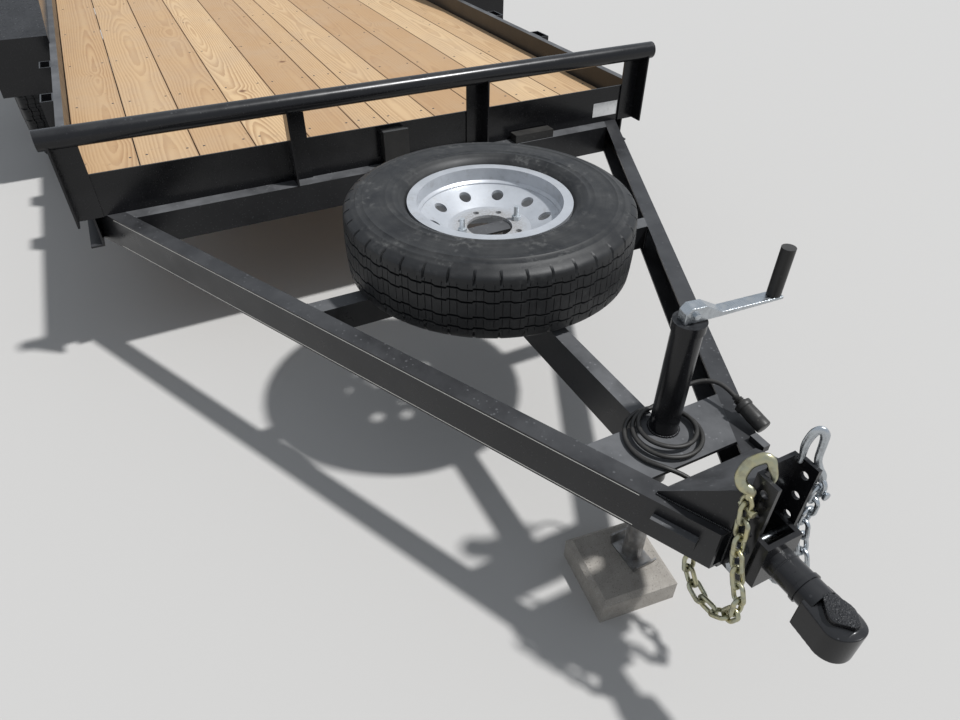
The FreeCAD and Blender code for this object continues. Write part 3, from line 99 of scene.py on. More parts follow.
ahead = Vector((-math.cos(LOOK_DOWN) * math.cos(HEADING), math.cos(LOOK_DOWN) * math.sin(HEADING),
                -math.sin(LOOK_DOWN)))
level = Vector((math.sin(HEADING), math.cos(HEADING), 0))
below = ahead.cross(level)
right = level * math.cos(ROLL) + below * math.sin(ROLL)
down = below * math.cos(ROLL) - level * math.sin(ROLL)
camera = linked("camera", bpy.data.cameras.new("camera"))
turned = Matrix((right, -down, -ahead)).transposed().to_4x4()
camera.matrix_world = Matrix.Translation(EYE) @ turned
camera.data.lens = LENS
camera.data.sensor_width = SENSOR_WIDE
camera.data.clip_end = SEES_TO
scene.camera = camera
scene.view_settings.view_transform = "Standard"
print("lens", LENS, "mm")

# %% [markdown]
# ## The harness cable
# The lamps' cable is a round rubber cord. It comes out of the nose, lies twice round the jack and
# ends in a plug over the rail. It could be a bar swept along arcs, but that looks like bent wire. A
# smooth curve through a few control points bends as a cable does, and its round section is the
# curve's own bevel, so the cable stays one curve that can be laid again.

# %% Lay the cable
# The cable's diameter, and the height of its middle where it lies on the jack's plate.
CABLE_WIDE = 10
LIES_AT = -48.5
# The first and the last turn round the jack, each with its middle (forward and left) and radius.
TURNS = ((1546, -20, 88), (1532, -5, 60))
# Points to a turn, points in all, where the first lies in degrees, and how far it is still up.
STEPS, TURNED, FIRST_ANGLE, FIRST_LIFT = 12, 30, -40, 3.5
route = [(1720, -24, LIES_AT - 24), (1690, -24, LIES_AT - 22), (1664, -30, LIES_AT - 19),
         (1640, -47, LIES_AT - 7)]
for i in range(TURNED):
    share = min(1, i / (2 * STEPS))
    middle_x, middle_y, wide = (a + (b - a) * share for a, b in zip(*TURNS))
    angle = math.radians(FIRST_ANGLE - i * 360 / STEPS)
    rise = (CABLE_WIDE + 1) * share + (0 if i else FIRST_LIFT)
    route.append((middle_x + wide * math.cos(angle), middle_y + wide * math.sin(angle),
                  LIES_AT + rise))
route += [(1466, 45, LIES_AT + 16), (1462, 86, LIES_AT + 24), (1468, 124, LIES_AT + 34),
          (1488, 150, LIES_AT + 41), (1516, 161, LIES_AT + 41), (1543, 163, LIES_AT + 34.5)]
route = [at(*point) for point in route]


def nurbs(name, points, diameter):
    """A round cord on one smooth open curve."""
    data = bpy.data.curves.new(name, "CURVE")
    data.dimensions = "3D"
    data.bevel_depth = diameter / 2
    data.bevel_resolution = 5
    data.resolution_u = 8
    data.use_fill_caps = True
    spline = data.splines.new("NURBS")
    spline.points.add(len(points) - 1)
    for spot, point in zip(spline.points, points):
        spot.co = (*point, 1)
    spline.order_u = 3
    spline.use_endpoint_u = True
    return linked(name, data)


cable = nurbs("lamp_cable", route, CABLE_WIDE * MM)
print("cable has", len(route), "control points")

# %% [markdown]
# ## Node helpers
# Materials and trees are built from nodes in code, so that every value can be read and changed. One
# helper makes a node and sets or links its inputs, and the others give short names to the sums that
# come up all the time.

# %% Helpers for nodes
def node(tree, kind, inputs=None, **settings):
    """A node with its settings, and inputs that are set to a value or linked to a socket."""
    made = tree.nodes.new(kind)
    for name, value in settings.items():
        setattr(made, name, value)
    for name, value in (inputs or {}).items():
        if isinstance(value, bpy.types.NodeSocket):
            tree.links.new(value, made.inputs[name])
        else:
            made.inputs[name].default_value = value
    return made


def sums(tree, operation, *values):
    """A Math node's result."""
    return node(tree, "ShaderNodeMath", dict(enumerate(values)), operation=operation).outputs[0]


def plus(tree, first, second):
    """Two values added."""
    return sums(tree, "ADD", first, second)


def minus(tree, first, second):
    """The second value taken from the first."""
    return sums(tree, "SUBTRACT", first, second)


def times(tree, first, second):
    """Two values multiplied."""
    return sums(tree, "MULTIPLY", first, second)


def span(tree, value, low, high, to_low=0, to_high=1, smooth=False):
    """A value's place between two limits, moved to two others."""
    kind = "SMOOTHSTEP" if smooth else "LINEAR"
    inputs = {"Value": value, "From Min": low, "From Max": high, "To Min": to_low,
              "To Max": to_high}
    return node(tree, "ShaderNodeMapRange", inputs, interpolation_type=kind).outputs[0]

# %% [markdown]
# Colours are mixed, noise and cells give irregular patterns, and a few helpers take vectors and
# colours apart. Cells serve for whatever comes in separate spots, such as specks, knots and pits,
# because each cell has its own chance.

# %% Colours and patterns


def blend(tree, share, first, second):
    """Two colours mixed by a share."""
    made = node(tree, "ShaderNodeMix", {0: share, 6: first, 7: second}, data_type="RGBA")
    return made.outputs[2]


def blend_value(tree, share, first, second):
    """Two values mixed by a share."""
    made = node(tree, "ShaderNodeMix", {0: share, 2: first, 3: second}, data_type="FLOAT")
    return made.outputs[0]


def noise(tree, vector, scale, detail=3, roughness=0.55):
    """A noise between 0 and 1."""
    inputs = {"Vector": vector, "Scale": scale, "Detail": detail, "Roughness": roughness}
    return node(tree, "ShaderNodeTexNoise", inputs).outputs[0]


def cells(tree, vector, scale):
    """Random cells: how far their middle is, and a chance of each cell's own."""
    made = node(tree, "ShaderNodeTexVoronoi", {"Vector": vector, "Scale": scale}).outputs
    return made[0], chances(tree, made[1])[0]


def chances(tree, colour):
    """A random colour taken apart into three chances between 0 and 1."""
    return node(tree, "ShaderNodeSeparateColor", {0: colour}).outputs


def axes_of(tree, vector):
    """The three axes of a vector."""
    return node(tree, "ShaderNodeSeparateXYZ", {0: vector}).outputs


def vector_of(tree, *axes):
    """A vector from its first axes."""
    return node(tree, "ShaderNodeCombineXYZ", dict(enumerate(axes))).outputs[0]


def stretched(tree, vector, scale):
    """Coordinates stretched along the axes."""
    return node(tree, "ShaderNodeMapping", {"Vector": vector, "Scale": scale}).outputs[0]

# %% [markdown]
# A group holds an effect that several materials share, and only puts out masks and values. The
# Principled shader itself stays in each material, where the export can read it.

# %% Groups and materials


def new_group(name, inputs, outputs):
    """An empty shader group with named sockets, and its two end nodes."""
    tree = bpy.data.node_groups.new(name, "ShaderNodeTree")
    for label, kind, value in inputs:
        socket = tree.interface.new_socket(label, in_out="INPUT", socket_type="NodeSocket" + kind)
        if value is not None:
            socket.default_value = value
    for label, kind in outputs:
        tree.interface.new_socket(label, in_out="OUTPUT", socket_type="NodeSocket" + kind)
    return tree, tree.nodes.new("NodeGroupInput").outputs, tree.nodes.new("NodeGroupOutput").inputs


def use_group(tree, group, inputs):
    """A group placed in a material, as its outputs."""
    return node(tree, "ShaderNodeGroup", inputs, node_tree=group).outputs


def new_material(name):
    """An empty material, its node tree, its Principled shader and its object coordinates."""
    made = bpy.data.materials.new(name)
    made.use_nodes = True
    tree = made.node_tree
    tree.nodes.clear()
    shader = node(tree, "ShaderNodeBsdfPrincipled")
    node(tree, "ShaderNodeOutputMaterial", {"Surface": shader.outputs[0]})
    place = node(tree, "ShaderNodeTexCoord").outputs["Object"]
    return made, tree, shader, place


def look(tree, shader, **sockets):
    """Links what a material works out to its shader. A socket's name has _ for a space."""
    for name, value in sockets.items():
        tree.links.new(value, shader.inputs[name.replace("_", " ")])


def bump(tree, shader, height, depth):
    """Gives a shader relief from a height, with its depth in millimetres."""
    made = node(tree, "ShaderNodeBump", {"Height": height, "Distance": depth * MM})
    tree.links.new(made.outputs[0], shader.inputs["Normal"])

# %% [markdown]
# ## Dust and scuffs
# A trailer that has stood outside is dusty where it faces up, in soft patches with hard specks. A
# picture of dust could be laid over it, but it would stretch and repeat. Here noise gives the
# patches, cells of random size give the specks, and the surface's own direction says how much lies
# there. Paint, iron and plastic all need it, so it is one group with its own inputs. A second group
# gives bare metal its fine marks.

# %% The dust group
def make_dust():
    """A mask of settled dust: patches, specks, and more where the surface faces up."""
    tree, given, result = new_group(
        "settled dust",
        [("Vector", "Vector", None), ("Amount", "Float", 0.5), ("Flat Only", "Float", 1.0),
         ("Patch", "Float", 9.0), ("Speck", "Float", 260.0)],
        [("Mask", "Float"), ("Relief", "Float")])
    place, amount = given["Vector"], given["Amount"]
    upward = axes_of(tree, node(tree, "ShaderNodeNewGeometry").outputs["Normal"])[2]
    flat = span(tree, upward, 0.35, 0.95, smooth=True)
    where = blend_value(tree, given["Flat Only"], 1.0, flat)
    patches = span(tree, noise(tree, place, given["Patch"], 5, 0.62), 0.3, 0.72, 0.35, 1.0)
    away, chance = cells(tree, place, times(tree, given["Speck"], 0.42))
    size = times(tree, span(tree, chance, 0.45, 1.0), 0.34)
    specks = times(tree, span(tree, minus(tree, size, away), 0.0, 0.05), 0.95)
    seen = times(tree, specks, sums(tree, "POWER", amount, 0.7))
    both = sums(tree, "MAXIMUM", times(tree, patches, amount), seen)
    tree.links.new(times(tree, both, where), result["Mask"])
    tree.links.new(noise(tree, place, given["Speck"], 2, 0.7), result["Relief"])
    return tree


DUST = make_dust()


def make_marks():
    """Fine crossing scratches and cloudy patches on bare or plated metal."""
    tree, given, result = new_group(
        "metal marks",
        [("Vector", "Vector", None), ("Scratch", "Float", 90.0), ("Cloud", "Float", 22.0)],
        [("Scratches", "Float"), ("Clouds", "Float")])
    place = given["Vector"]
    along = noise(tree, stretched(tree, place, (1, 0.08, 1)), given["Scratch"], 4, 0.6)
    across = noise(tree, stretched(tree, place, (0.08, 1, 1)), given["Scratch"], 4, 0.6)
    both = sums(tree, "MAXIMUM", along, across)
    clouds = noise(tree, place, given["Cloud"], 5, 0.6)
    tree.links.new(span(tree, both, 0.55, 0.75), result["Scratches"])
    tree.links.new(span(tree, clouds, 0.3, 0.7), result["Clouds"])
    return tree


MARKS = make_marks()
print("shader groups:", [group.name for group in bpy.data.node_groups])

# %% [markdown]
# ## Black paint
# The frame is sprayed gloss black. Clean steel mirrors the ground and sky, and a dusty flange turns
# grey-blue. One colour for all of it would look like plastic, and a material for each piece would
# be hard to keep alike. So both come from one recipe with other amounts: a dark coat, the dust mask
# that mixes in a pale dust and dulls the gloss, and a very fine ripple as sprayed paint has.

# %% Paints
COAT = (0.005, 0.005, 0.006, 1)
ROAD_DUST = (0.235, 0.24, 0.25, 1)
BARE_ZINC = (0.55, 0.58, 0.60, 1)
PAINT_SHINE = 0.34


def paint(name, dust, gloss=0.17, film=0.03, stipple=None, plated_above=None):
    """Sprayed black paint. dust is how much lies on flat tops, film what covers all faces, stipple
    the lowest height of a cast pad that is dotted all over, and plated_above the height where bare
    zinc bolts begin."""
    made, tree, shader, place = new_material(name)
    shader.inputs["Specular IOR Level"].default_value = PAINT_SHINE
    height_above = axes_of(tree, place)[2]
    tops = use_group(tree, DUST, {"Vector": place, "Amount": dust, "Speck": 230.0})
    sides = use_group(tree, DUST, {"Vector": place, "Amount": film, "Flat Only": 0.0, "Patch": 5.0,
                                   "Speck": 391.0})
    mask = sums(tree, "MAXIMUM", tops["Mask"], sides["Mask"])
    colour = blend(tree, mask, COAT, ROAD_DUST)
    if plated_above is not None:
        zinc = span(tree, height_above, plated_above, plated_above + 0.4 * MM)
        colour = blend(tree, zinc, colour, BARE_ZINC)
        look(tree, shader, Metallic=zinc)
    worn = span(tree, noise(tree, place, 14, 4), 0.3, 0.7, gloss, gloss + 0.1)
    look(tree, shader, Base_Color=colour, Roughness=plus(tree, worn, times(tree, mask, 0.9)))
    ripple = times(tree, noise(tree, place, 420, 2), 0.35)
    height = plus(tree, ripple, times(tree, mask, 0.8))
    if stipple is not None:
        above = span(tree, height_above, stipple, stipple + 0.5 * MM)
        dots = span(tree, cells(tree, place, 260)[0], 0.55, 0.2, smooth=True)
        height = plus(tree, height, times(tree, times(tree, dots, above), 9))
    bump(tree, shader, height, 0.12)
    return made


CLEAN_PAINT = paint("gloss black paint", 0.10, film=0.015)
RAIL_PAINT = paint("black paint with some dust", 0.22, gloss=0.22, film=0.06)
DUSTY_PAINT = paint("black paint with dust on top", 0.55, gloss=0.24, film=0.05)
CAST_PAINT = paint("black paint on cast steel", 0.10, gloss=0.16, film=0.012,
                   stipple=DECK_TOP - 66.5 * MM)
SADDLE_PAINT = paint("black paint with zinc bolts", 0.4, gloss=0.3, film=0.05,
                     plated_above=DECK_TOP + 62.5 * MM)
LOZENGE_PAINT = paint("black paint on tread plate", 0.1, gloss=0.12, film=0.015)
print("paints:", [made.name for made in bpy.data.materials])

# %% [markdown]
# ## Pine planks
# Flat sawn pine shows growth rings cut at a slant, which run as long arches along the board, with
# some round knots. Wavy bands would give stripes without arches. The rings are cylinders about the
# tree's middle, so a board is a slice of them: the distance to a wandering line below the board,
# cut into even steps, gives the arches. A knot pushes the rings aside. Each board's number seeds
# its own offset and tint, so no two look alike.

# %% Boards and growth rings
BOARD, NARROW, GAP = 189.5, 110, 4
EARLY, LATE = (0.60, 0.42, 0.235, 1), (0.33, 0.175, 0.075, 1)
PALE, RUDDY, WEATHERED = (0.66, 0.50, 0.31, 1), (0.37, 0.215, 0.105, 1), (0.44, 0.335, 0.235, 1)
# The last tone here is the one that each board's face darkens to over its last 4 mm towards its
# edges.
STAINED, KNOT, DARK_BOARD_EDGE = (0.22, 0.14, 0.085, 1), (0.16, 0.075, 0.035, 1), (0.20, 0.12, 0.07, 1)
RINGS_TO_A_METRE = 104.0


def board_frame(tree, place):
    """Coordinates that differ from board to board, the place across a board from its middle, and
    three chances of each board's own."""
    axes = axes_of(tree, place)
    off_middle = sums(tree, "ABSOLUTE", axes[1])
    pitch, start = (BOARD + GAP) * MM, (NARROW / 2 + GAP) * MM
    steps = sums(tree, "DIVIDE", minus(tree, off_middle, start), pitch)
    row = sums(tree, "MAXIMUM", plus(tree, sums(tree, "FLOOR", steps), 1.0), 0.0)
    number = times(tree, row, sums(tree, "SIGN", axes[1]))
    colour = node(tree, "ShaderNodeTexWhiteNoise", {"W": number}, noise_dimensions="1D").outputs[1]
    luck = chances(tree, colour)
    middle = sums(tree, "MULTIPLY_ADD", row, pitch, start - pitch + BOARD * MM / 2)
    inside = minus(tree, off_middle, middle)
    along = sums(tree, "MULTIPLY_ADD", luck[0], 17.0, axes[0])
    return vector_of(tree, along, inside, times(tree, number, 3.7)), inside, luck


def growth_rings(tree, board, inside, luck, near_knot):
    """The late wood of each ring, where a slanting slice of the tree meets the board's face."""
    wander = noise(tree, stretched(tree, board, (0.55, 0.5, 1)), 1.3, 2, 0.4)
    sunk = sums(tree, "MULTIPLY_ADD", luck[1], 0.05, -0.055)
    depth = sums(tree, "MULTIPLY_ADD", wander, 0.16, sunk)
    side = plus(tree, inside, sums(tree, "MULTIPLY_ADD", luck[2], 0.10, -0.05))
    radius = sums(tree, "SQRT", plus(tree, times(tree, side, side), times(tree, depth, depth)))
    for bend, share in ((noise(tree, stretched(tree, board, (2.2, 16, 1)), 1.0, 3), 0.010),
                        (near_knot, 0.012),
                        (noise(tree, stretched(tree, board, (7, 60, 1)), 1.0, 2), 0.003)):
        radius = plus(tree, radius, times(tree, bend, share))
    ring = sums(tree, "FRACT", times(tree, radius, RINGS_TO_A_METRE))
    late = times(tree, span(tree, ring, 0.15, 0.88, smooth=True),
                 span(tree, ring, 1.0, 0.93, smooth=True))
    strong = noise(tree, stretched(tree, board, (1.5, 14, 1)), 1.0, 3)
    return times(tree, late, span(tree, strong, 0.3, 0.7, 0.4, 1.0))

# %% Sawn pine
def pine():
    """Sawn pine for boards that run lengthwise, each with its own grain."""
    made, tree, shader, place = new_material("sawn pine")
    board, inside, luck = board_frame(tree, place)
    away, chosen = cells(tree, board, 3.6)
    has_knot = span(tree, chosen, 0.70, 0.71)
    knot = times(tree, span(tree, away, 0.075, 0.035, smooth=True), has_knot)
    near_knot = times(tree, span(tree, away, 0.30, 0.0, smooth=True), has_knot)
    late = growth_rings(tree, board, inside, luck, near_knot)
    fibre = noise(tree, stretched(tree, board, (9, 420, 1)), 1.0, 3, 0.6)
    grain = sums(tree, "MULTIPLY_ADD", minus(tree, fibre, 0.5), 0.5, times(tree, late, 0.92))
    grain = node(tree, "ShaderNodeClamp", {0: grain}).outputs[0]
    half = BOARD / 2 * MM
    colour = blend(tree, grain, EARLY, LATE)
    for share, tone in (
            (span(tree, luck[1], 0.0, 1.0, 0.0, 0.4), PALE),
            (span(tree, luck[2], 0.35, 1.0, 0.0, 0.7), RUDDY),
            (span(tree, noise(tree, place, 3.2, 5, 0.65), 0.42, 0.75, 0, 0.42), WEATHERED),
            (span(tree, noise(tree, place, 36, 3, 0.6), 0.64, 0.80, 0, 0.55), STAINED),
            (times(tree, knot, 0.85), KNOT),
            # Each board's face darkens over its last 4 mm towards its edges.
            (span(tree, sums(tree, "ABSOLUTE", inside), half - 4 * MM, half, 0, 0.55), DARK_BOARD_EDGE)):
        colour = blend(tree, share, colour, tone)
    look(tree, shader, Base_Color=colour, Roughness=span(tree, grain, 0, 1, 0.78, 0.62))
    bump(tree, shader, plus(tree, times(tree, grain, -0.6), times(tree, fibre, 0.5)), 0.6)
    return made


PINE = pine()
print("boards are", BOARD, "mm wide,", GAP, "mm apart")

# %% [markdown]
# ## Plated, cast and painted metal
# Zinc plate is cloudy with fine marks, and its yellow kind has a greenish gold bloom. The rims are
# silver paint with brake dust round the bolts, and the hubs are painted iron with brown dust. Bare
# metal in one tone mirrors its surroundings like chrome, so the marks group breaks the gloss up.

# %% Metals
GRIME, BRAKE_DIRT = (0.16, 0.14, 0.115, 1), (0.22, 0.205, 0.185, 1)
# Between these distances from a wheel's axis the dirt round its bolts fades out.
BOLTS_START, BOLTS_END = 75, 120


def plated(name, light, dark, roughness, dirt):
    """Plated steel: two tones in clouds, fine scratches, and dirt in patches."""
    made, tree, shader, place = new_material(name)
    marks = use_group(tree, MARKS, {"Vector": place, "Scratch": 160.0, "Cloud": 45.0})
    dull = span(tree, noise(tree, place, 60, 5, 0.65), 0.5, 0.78, 0, dirt)
    colour = blend(tree, dull, blend(tree, marks["Clouds"], light, dark), GRIME)
    rough = plus(tree, roughness, times(tree, marks["Scratches"], 0.18))
    look(tree, shader, Base_Color=colour, Metallic=minus(tree, 1.0, times(tree, dull, 0.9)),
         Roughness=sums(tree, "MULTIPLY_ADD", dull, 0.5, rough))
    bump(tree, shader, marks["Scratches"], 0.08)
    return made


def silver(name, centre=None):
    """Silver wheel paint. centre is the axis of a flat lying wheel whose bolt ring is dirty."""
    made, tree, shader, place = new_material(name)
    marks = use_group(tree, MARKS, {"Vector": place, "Scratch": 120.0, "Cloud": 18.0})
    colour = blend(tree, marks["Clouds"], (0.56, 0.58, 0.61, 1), (0.47, 0.49, 0.52, 1))
    dirt = span(tree, noise(tree, place, 40, 6, 0.7), 0.52, 0.72, 0, 0.35)
    if centre is not None:
        away = axes_of(tree, node(tree, "ShaderNodeVectorMath", {0: place, 1: centre},
                                  operation="SUBTRACT").outputs[0])
        reach = sums(tree, "SQRT", plus(tree, times(tree, away[0], away[0]),
                                        times(tree, away[1], away[1])))
        ring = span(tree, reach, BOLTS_END * MM, BOLTS_START * MM, smooth=True)
        speckled = span(tree, noise(tree, place, 150, 5, 0.75), 0.35, 0.6, 0.15, 0.75)
        dirt = sums(tree, "MAXIMUM", dirt, times(tree, ring, speckled))
    look(tree, shader, Base_Color=blend(tree, dirt, colour, BRAKE_DIRT),
         Metallic=sums(tree, "MULTIPLY_ADD", dirt, -0.4, 0.45),
         Roughness=sums(tree, "MULTIPLY_ADD", dirt, 0.4, 0.38))
    bump(tree, shader, noise(tree, place, 300, 2), 0.06)
    return made


def rusty_iron(name):
    """Painted drums and hubs with brown dust."""
    made, tree, shader, place = new_material(name)
    dust = use_group(tree, DUST, {"Vector": place, "Amount": 0.45, "Flat Only": 0.0, "Patch": 20.0})
    colour = blend(tree, dust["Mask"], (0.03, 0.028, 0.027, 1), (0.16, 0.12, 0.09, 1))
    look(tree, shader, Base_Color=colour, Roughness=span(tree, dust["Mask"], 0, 1, 0.45, 0.85))
    bump(tree, shader, dust["Relief"], 0.2)
    return made


ZINC = plated("zinc plate", (0.52, 0.55, 0.58, 1), (0.44, 0.47, 0.49, 1), 0.27, 0.4)
WORN_ZINC = plated("dull zinc plate", (0.33, 0.33, 0.33, 1), (0.22, 0.21, 0.20, 1), 0.42, 0.9)
GOLD_ZINC = plated("yellow zinc plate", (0.52, 0.47, 0.27, 1), (0.38, 0.40, 0.32, 1), 0.30, 0.75)


def middle_of(name):
    """The middle of a CAD node's box."""
    low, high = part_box(name)
    return (low + high) / 2


SPARE_SILVER = silver("silver paint of the spare", tuple(middle_of("spare_rim")))
SILVER = silver("silver paint")
IRON = rusty_iron("painted iron")
print("spare's axis at", [round(value, 3) for value in middle_of("spare_rim")])

# %% [markdown]
# ## Rubber, plastic, lens and concrete
# Tyre rubber is dark in the tread and dusty on the sidewall, in rings round the wheel. Rings could
# be worked out from each wheel's axis, but the spare lies flat and the others stand. The tyre mesh
# built below carries its radius as an attribute, so one material serves every tyre, whichever way
# it stands. The lens gets its ribs from a wave, and the paver its sand and pits from noise and
# cells.

# %% Rubber and the rest
PLAIN_SHINE = 0.35


def tyre_rubber():
    """Tyre rubber, whose mesh gives each point's radius and whether it is tread."""
    made, tree, shader, place = new_material("tyre rubber")
    radius = node(tree, "ShaderNodeAttribute", attribute_name="radius").outputs["Fac"]
    tread = node(tree, "ShaderNodeAttribute", attribute_name="tread").outputs["Fac"]
    cloud = span(tree, noise(tree, place, 11, 6, 0.7), 0.35, 0.75)
    ring = span(tree, noise(tree, vector_of(tree, radius), 120, 2), 0.3, 0.7, 0.45, 1.0)
    smear = span(tree, noise(tree, place, 46, 5, 0.7), 0.52, 0.66)
    scuffs = times(tree, smear, span(tree, noise(tree, place, 7, 2), 0.42, 0.62))
    dust = sums(tree, "MULTIPLY_ADD", scuffs, 0.6, times(tree, times(tree, cloud, ring), 0.45))
    dust = times(tree, dust, span(tree, tread, 0, 1, 0.9, 0.28))
    colour = blend(tree, dust, (0.0085, 0.009, 0.010, 1), (0.125, 0.125, 0.122, 1))
    look(tree, shader, Base_Color=colour, Roughness=span(tree, dust, 0, 1, 0.45, 0.88))
    shader.inputs["Specular IOR Level"].default_value = PLAIN_SHINE
    bump(tree, shader, noise(tree, place, 380, 3), 0.25)
    return made


def plain_black(name, tone, roughness, grain):
    """Moulded rubber or plastic with a slight grain and a little dust."""
    made, tree, shader, place = new_material(name)
    dust = use_group(tree, DUST, {"Vector": place, "Amount": 0.22, "Flat Only": 0.6, "Patch": 30.0})
    colour = blend(tree, dust["Mask"], (tone, tone, tone, 1), (0.19, 0.18, 0.165, 1))
    look(tree, shader, Base_Color=colour, Roughness=span(tree, dust["Mask"], 0, 1, roughness, 0.9))
    shader.inputs["Specular IOR Level"].default_value = PLAIN_SHINE
    bump(tree, shader, noise(tree, place, grain, 3), 0.15)
    return made


def red_lens():
    """A ribbed red lens over a pale reflector."""
    made, tree, shader, place = new_material("red lens")
    ribs = sums(tree, "SINE", times(tree, axes_of(tree, place)[1], 1300.0))
    colour = blend(tree, span(tree, ribs, -1, 1), (0.30, 0.008, 0.008, 1), (0.52, 0.02, 0.015, 1))
    scuffs = span(tree, noise(tree, place, 60, 3), 0.3, 0.7, 0.08, 0.22)
    look(tree, shader, Base_Color=colour, Roughness=scuffs)
    bump(tree, shader, ribs, 0.4)
    return made


def concrete():
    """A cast paver: grey cement, sand specks and small pits."""
    made, tree, shader, place = new_material("cast concrete")
    cloud = span(tree, noise(tree, place, 16, 6, 0.65), 0.3, 0.7)
    sand = noise(tree, place, 420, 2, 0.8)
    pit = span(tree, cells(tree, place, 150)[0], 0.22, 0.10)
    colour = blend(tree, cloud, (0.37, 0.345, 0.31, 1), (0.25, 0.23, 0.205, 1))
    colour = blend(tree, span(tree, sand, 0.58, 0.7, 0, 0.6), colour, (0.56, 0.54, 0.50, 1))
    colour = blend(tree, times(tree, pit, 0.55), colour, (0.14, 0.125, 0.11, 1))
    look(tree, shader, Base_Color=colour, Roughness=span(tree, sand, 0.3, 0.7, 0.85, 0.97))
    bump(tree, shader, minus(tree, times(tree, sand, 0.6), pit), 1.2)
    return made


RUBBER = tyre_rubber()
CABLE_RUBBER = plain_black("cable rubber", 0.008, 0.42, 300)
PLASTIC = plain_black("black plastic", 0.009, 0.36, 500)
LENS_RED = red_lens()
CONCRETE = concrete()
print("materials:", len(bpy.data.materials))

# %% [markdown]
# ## Dress the frame
# Each CAD node keeps its shape and gets the finish of the real piece. What stands or hangs in the
# open is dusty on top, and the pipe rail, the header and the coupler are wiped clean. The table
# goes by the first words of the nodes' names, so left and right are always dressed alike.

# %% Give the nodes their materials
FINISHES = (
    (CLEAN_PAINT, ("header", "pipe_rail", "front_posts", "jack_tube", "coupler_channel",
                   "coupler_neck", "stake_pockets")),
    (LOZENGE_PAINT, ("fender",)),
    (SADDLE_PAINT, ("spare_mount",)),
    (RAIL_PAINT, ("tongue_rail", "lower_beam", "axle", "suspension", "rear_bumper")),
    (DUSTY_PAINT, ("side_rail", "joists", "tongue_crossmember", "spare_tie", "tongue_centre",
                   "tongue_plates")),
    (CAST_PAINT, ("coupler_head",)),
    (PINE, ("deck_planks",)),
    (ZINC, ("jack_crank", "coupler_bolts", "safety_chain_left")),
    (WORN_ZINC, ("jack_leg",)),
    (GOLD_ZINC, ("safety_chain_right",)),
    (SPARE_SILVER, ("spare_rim",)),
    (SILVER, ("rim_",)),
    (IRON, ("hub_",)),
    (RUBBER, ("tyre_", "spare_tyre")),
    (PLASTIC, ("jack_grip", "wiring_boxes", "harness_plug")),
    (CABLE_RUBBER, ("harness_cable",)),
    (LENS_RED, ("tail_lamps",)),
    (CONCRETE, ("jack_block",)),
)


def wear(made, material):
    """Gives a mesh one material."""
    made.data.materials.clear()
    made.data.materials.append(material)


for material, names in FINISHES:
    for name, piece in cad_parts.items():
        if name.startswith(names):
            wear(piece, material)
undressed = [name for name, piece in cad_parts.items() if not piece.data.materials]
print("nodes with no finish:", undressed)
wear(cable, CABLE_RUBBER)

# %% [markdown]
# ## Making meshes
# Some pieces are made point by point, because their shape follows a rule. Small helpers keep the
# later cells short: one makes an object from points and faces, one lays faces between rows of
# points, one turns all faces outward, and one works out the modifiers and leaves a plain mesh.

# %% Helpers for meshes
def smooth_to(data, angle):
    """Shades a mesh smooth, with an edge wherever it bends by more than an angle in degrees."""
    data.shade_smooth()
    data.set_sharp_from_angle(angle=math.radians(angle))


def mesh_object(name, points, faces):
    """An object whose place is in its mesh."""
    data = bpy.data.meshes.new(name)
    data.from_pydata([tuple(point) for point in points], [], faces)
    data.validate()
    return linked(name, data)


def skin(rows, count, closed=False):
    """Faces between rows of points, where each row is a loop of so many points. A closed skin
    comes back from the last row to the first."""
    return [(i * count + j, i * count + (j + 1) % count,
             (i + 1) % rows * count + (j + 1) % count, (i + 1) % rows * count + j)
            for i in range(rows if closed else rows - 1) for j in range(count)]


def outward(data):
    """Turns a closed mesh's faces outward."""
    shape = bmesh.new()
    shape.from_mesh(data)
    bmesh.ops.remove_doubles(shape, verts=shape.verts, dist=SAME_PLACE)
    bmesh.ops.recalc_face_normals(shape, faces=shape.faces)
    shape.to_mesh(data)
    shape.free()


def baked(made, name):
    """The object with its modifiers worked out, as a plain mesh object of its own."""
    graph = bpy.context.evaluated_depsgraph_get()
    data = bpy.data.meshes.new_from_object(made.evaluated_get(graph))
    data.name = name
    bpy.data.objects.remove(made)
    return linked(name, data)


def triangles(made):
    """How many triangles a piece has."""
    return sum(len(face.vertices) - 2 for face in made.data.polygons)

# %% [markdown]
# ## The tyres
# A tyre of this kind has four zigzag grooves, slits in its shoulders, fine cuts across the ribs and
# rings on the sidewalls. Cutting all that into a plain ring would need hundreds of cuts, but a tyre
# repeats one short slice of tread round its axis. So one slice is modelled with all its detail, and
# a Geometry Nodes tree turns copies of it into a closed ring. To change the tread, only the slice
# changes.

# %% Outline of a tyre slice
PITCHES = 40
TYRE_HALF, TYRE_RADIUS, BEAD_RADIUS, BEAD_HALF = 108, 391, 204, 75.4
GROOVES = (22, 54)
GROOVE_HALF, GROOVE_DEEP = 2.7, 8
TREAD_EDGE = 80
CROWN_DROP = 4.0
# Sidewall from the bead out to the shoulder: a radius, and a distance from the tyre's middle.
SIDEWALL = (
    (BEAD_RADIUS, BEAD_HALF), (220.7, BEAD_HALF), (223, 80), (228, 88), (235, 96), (244, 102.5),
    (254, 106.2), (256, 107.6), (259, 107.6), (261, 106.6), (272, 107), (274, TYRE_HALF),
    (276, TYRE_HALF), (278, 107), (300, 107), (318, 106), (330, 104.4), (332, 105.2), (335, 105.2),
    (337, 103.6), (349, 101), (351, 101.6), (354, 101), (356, 99), (364, 96))
SHOULDER = ((369, 93.5), (376, 90), (382, 86))
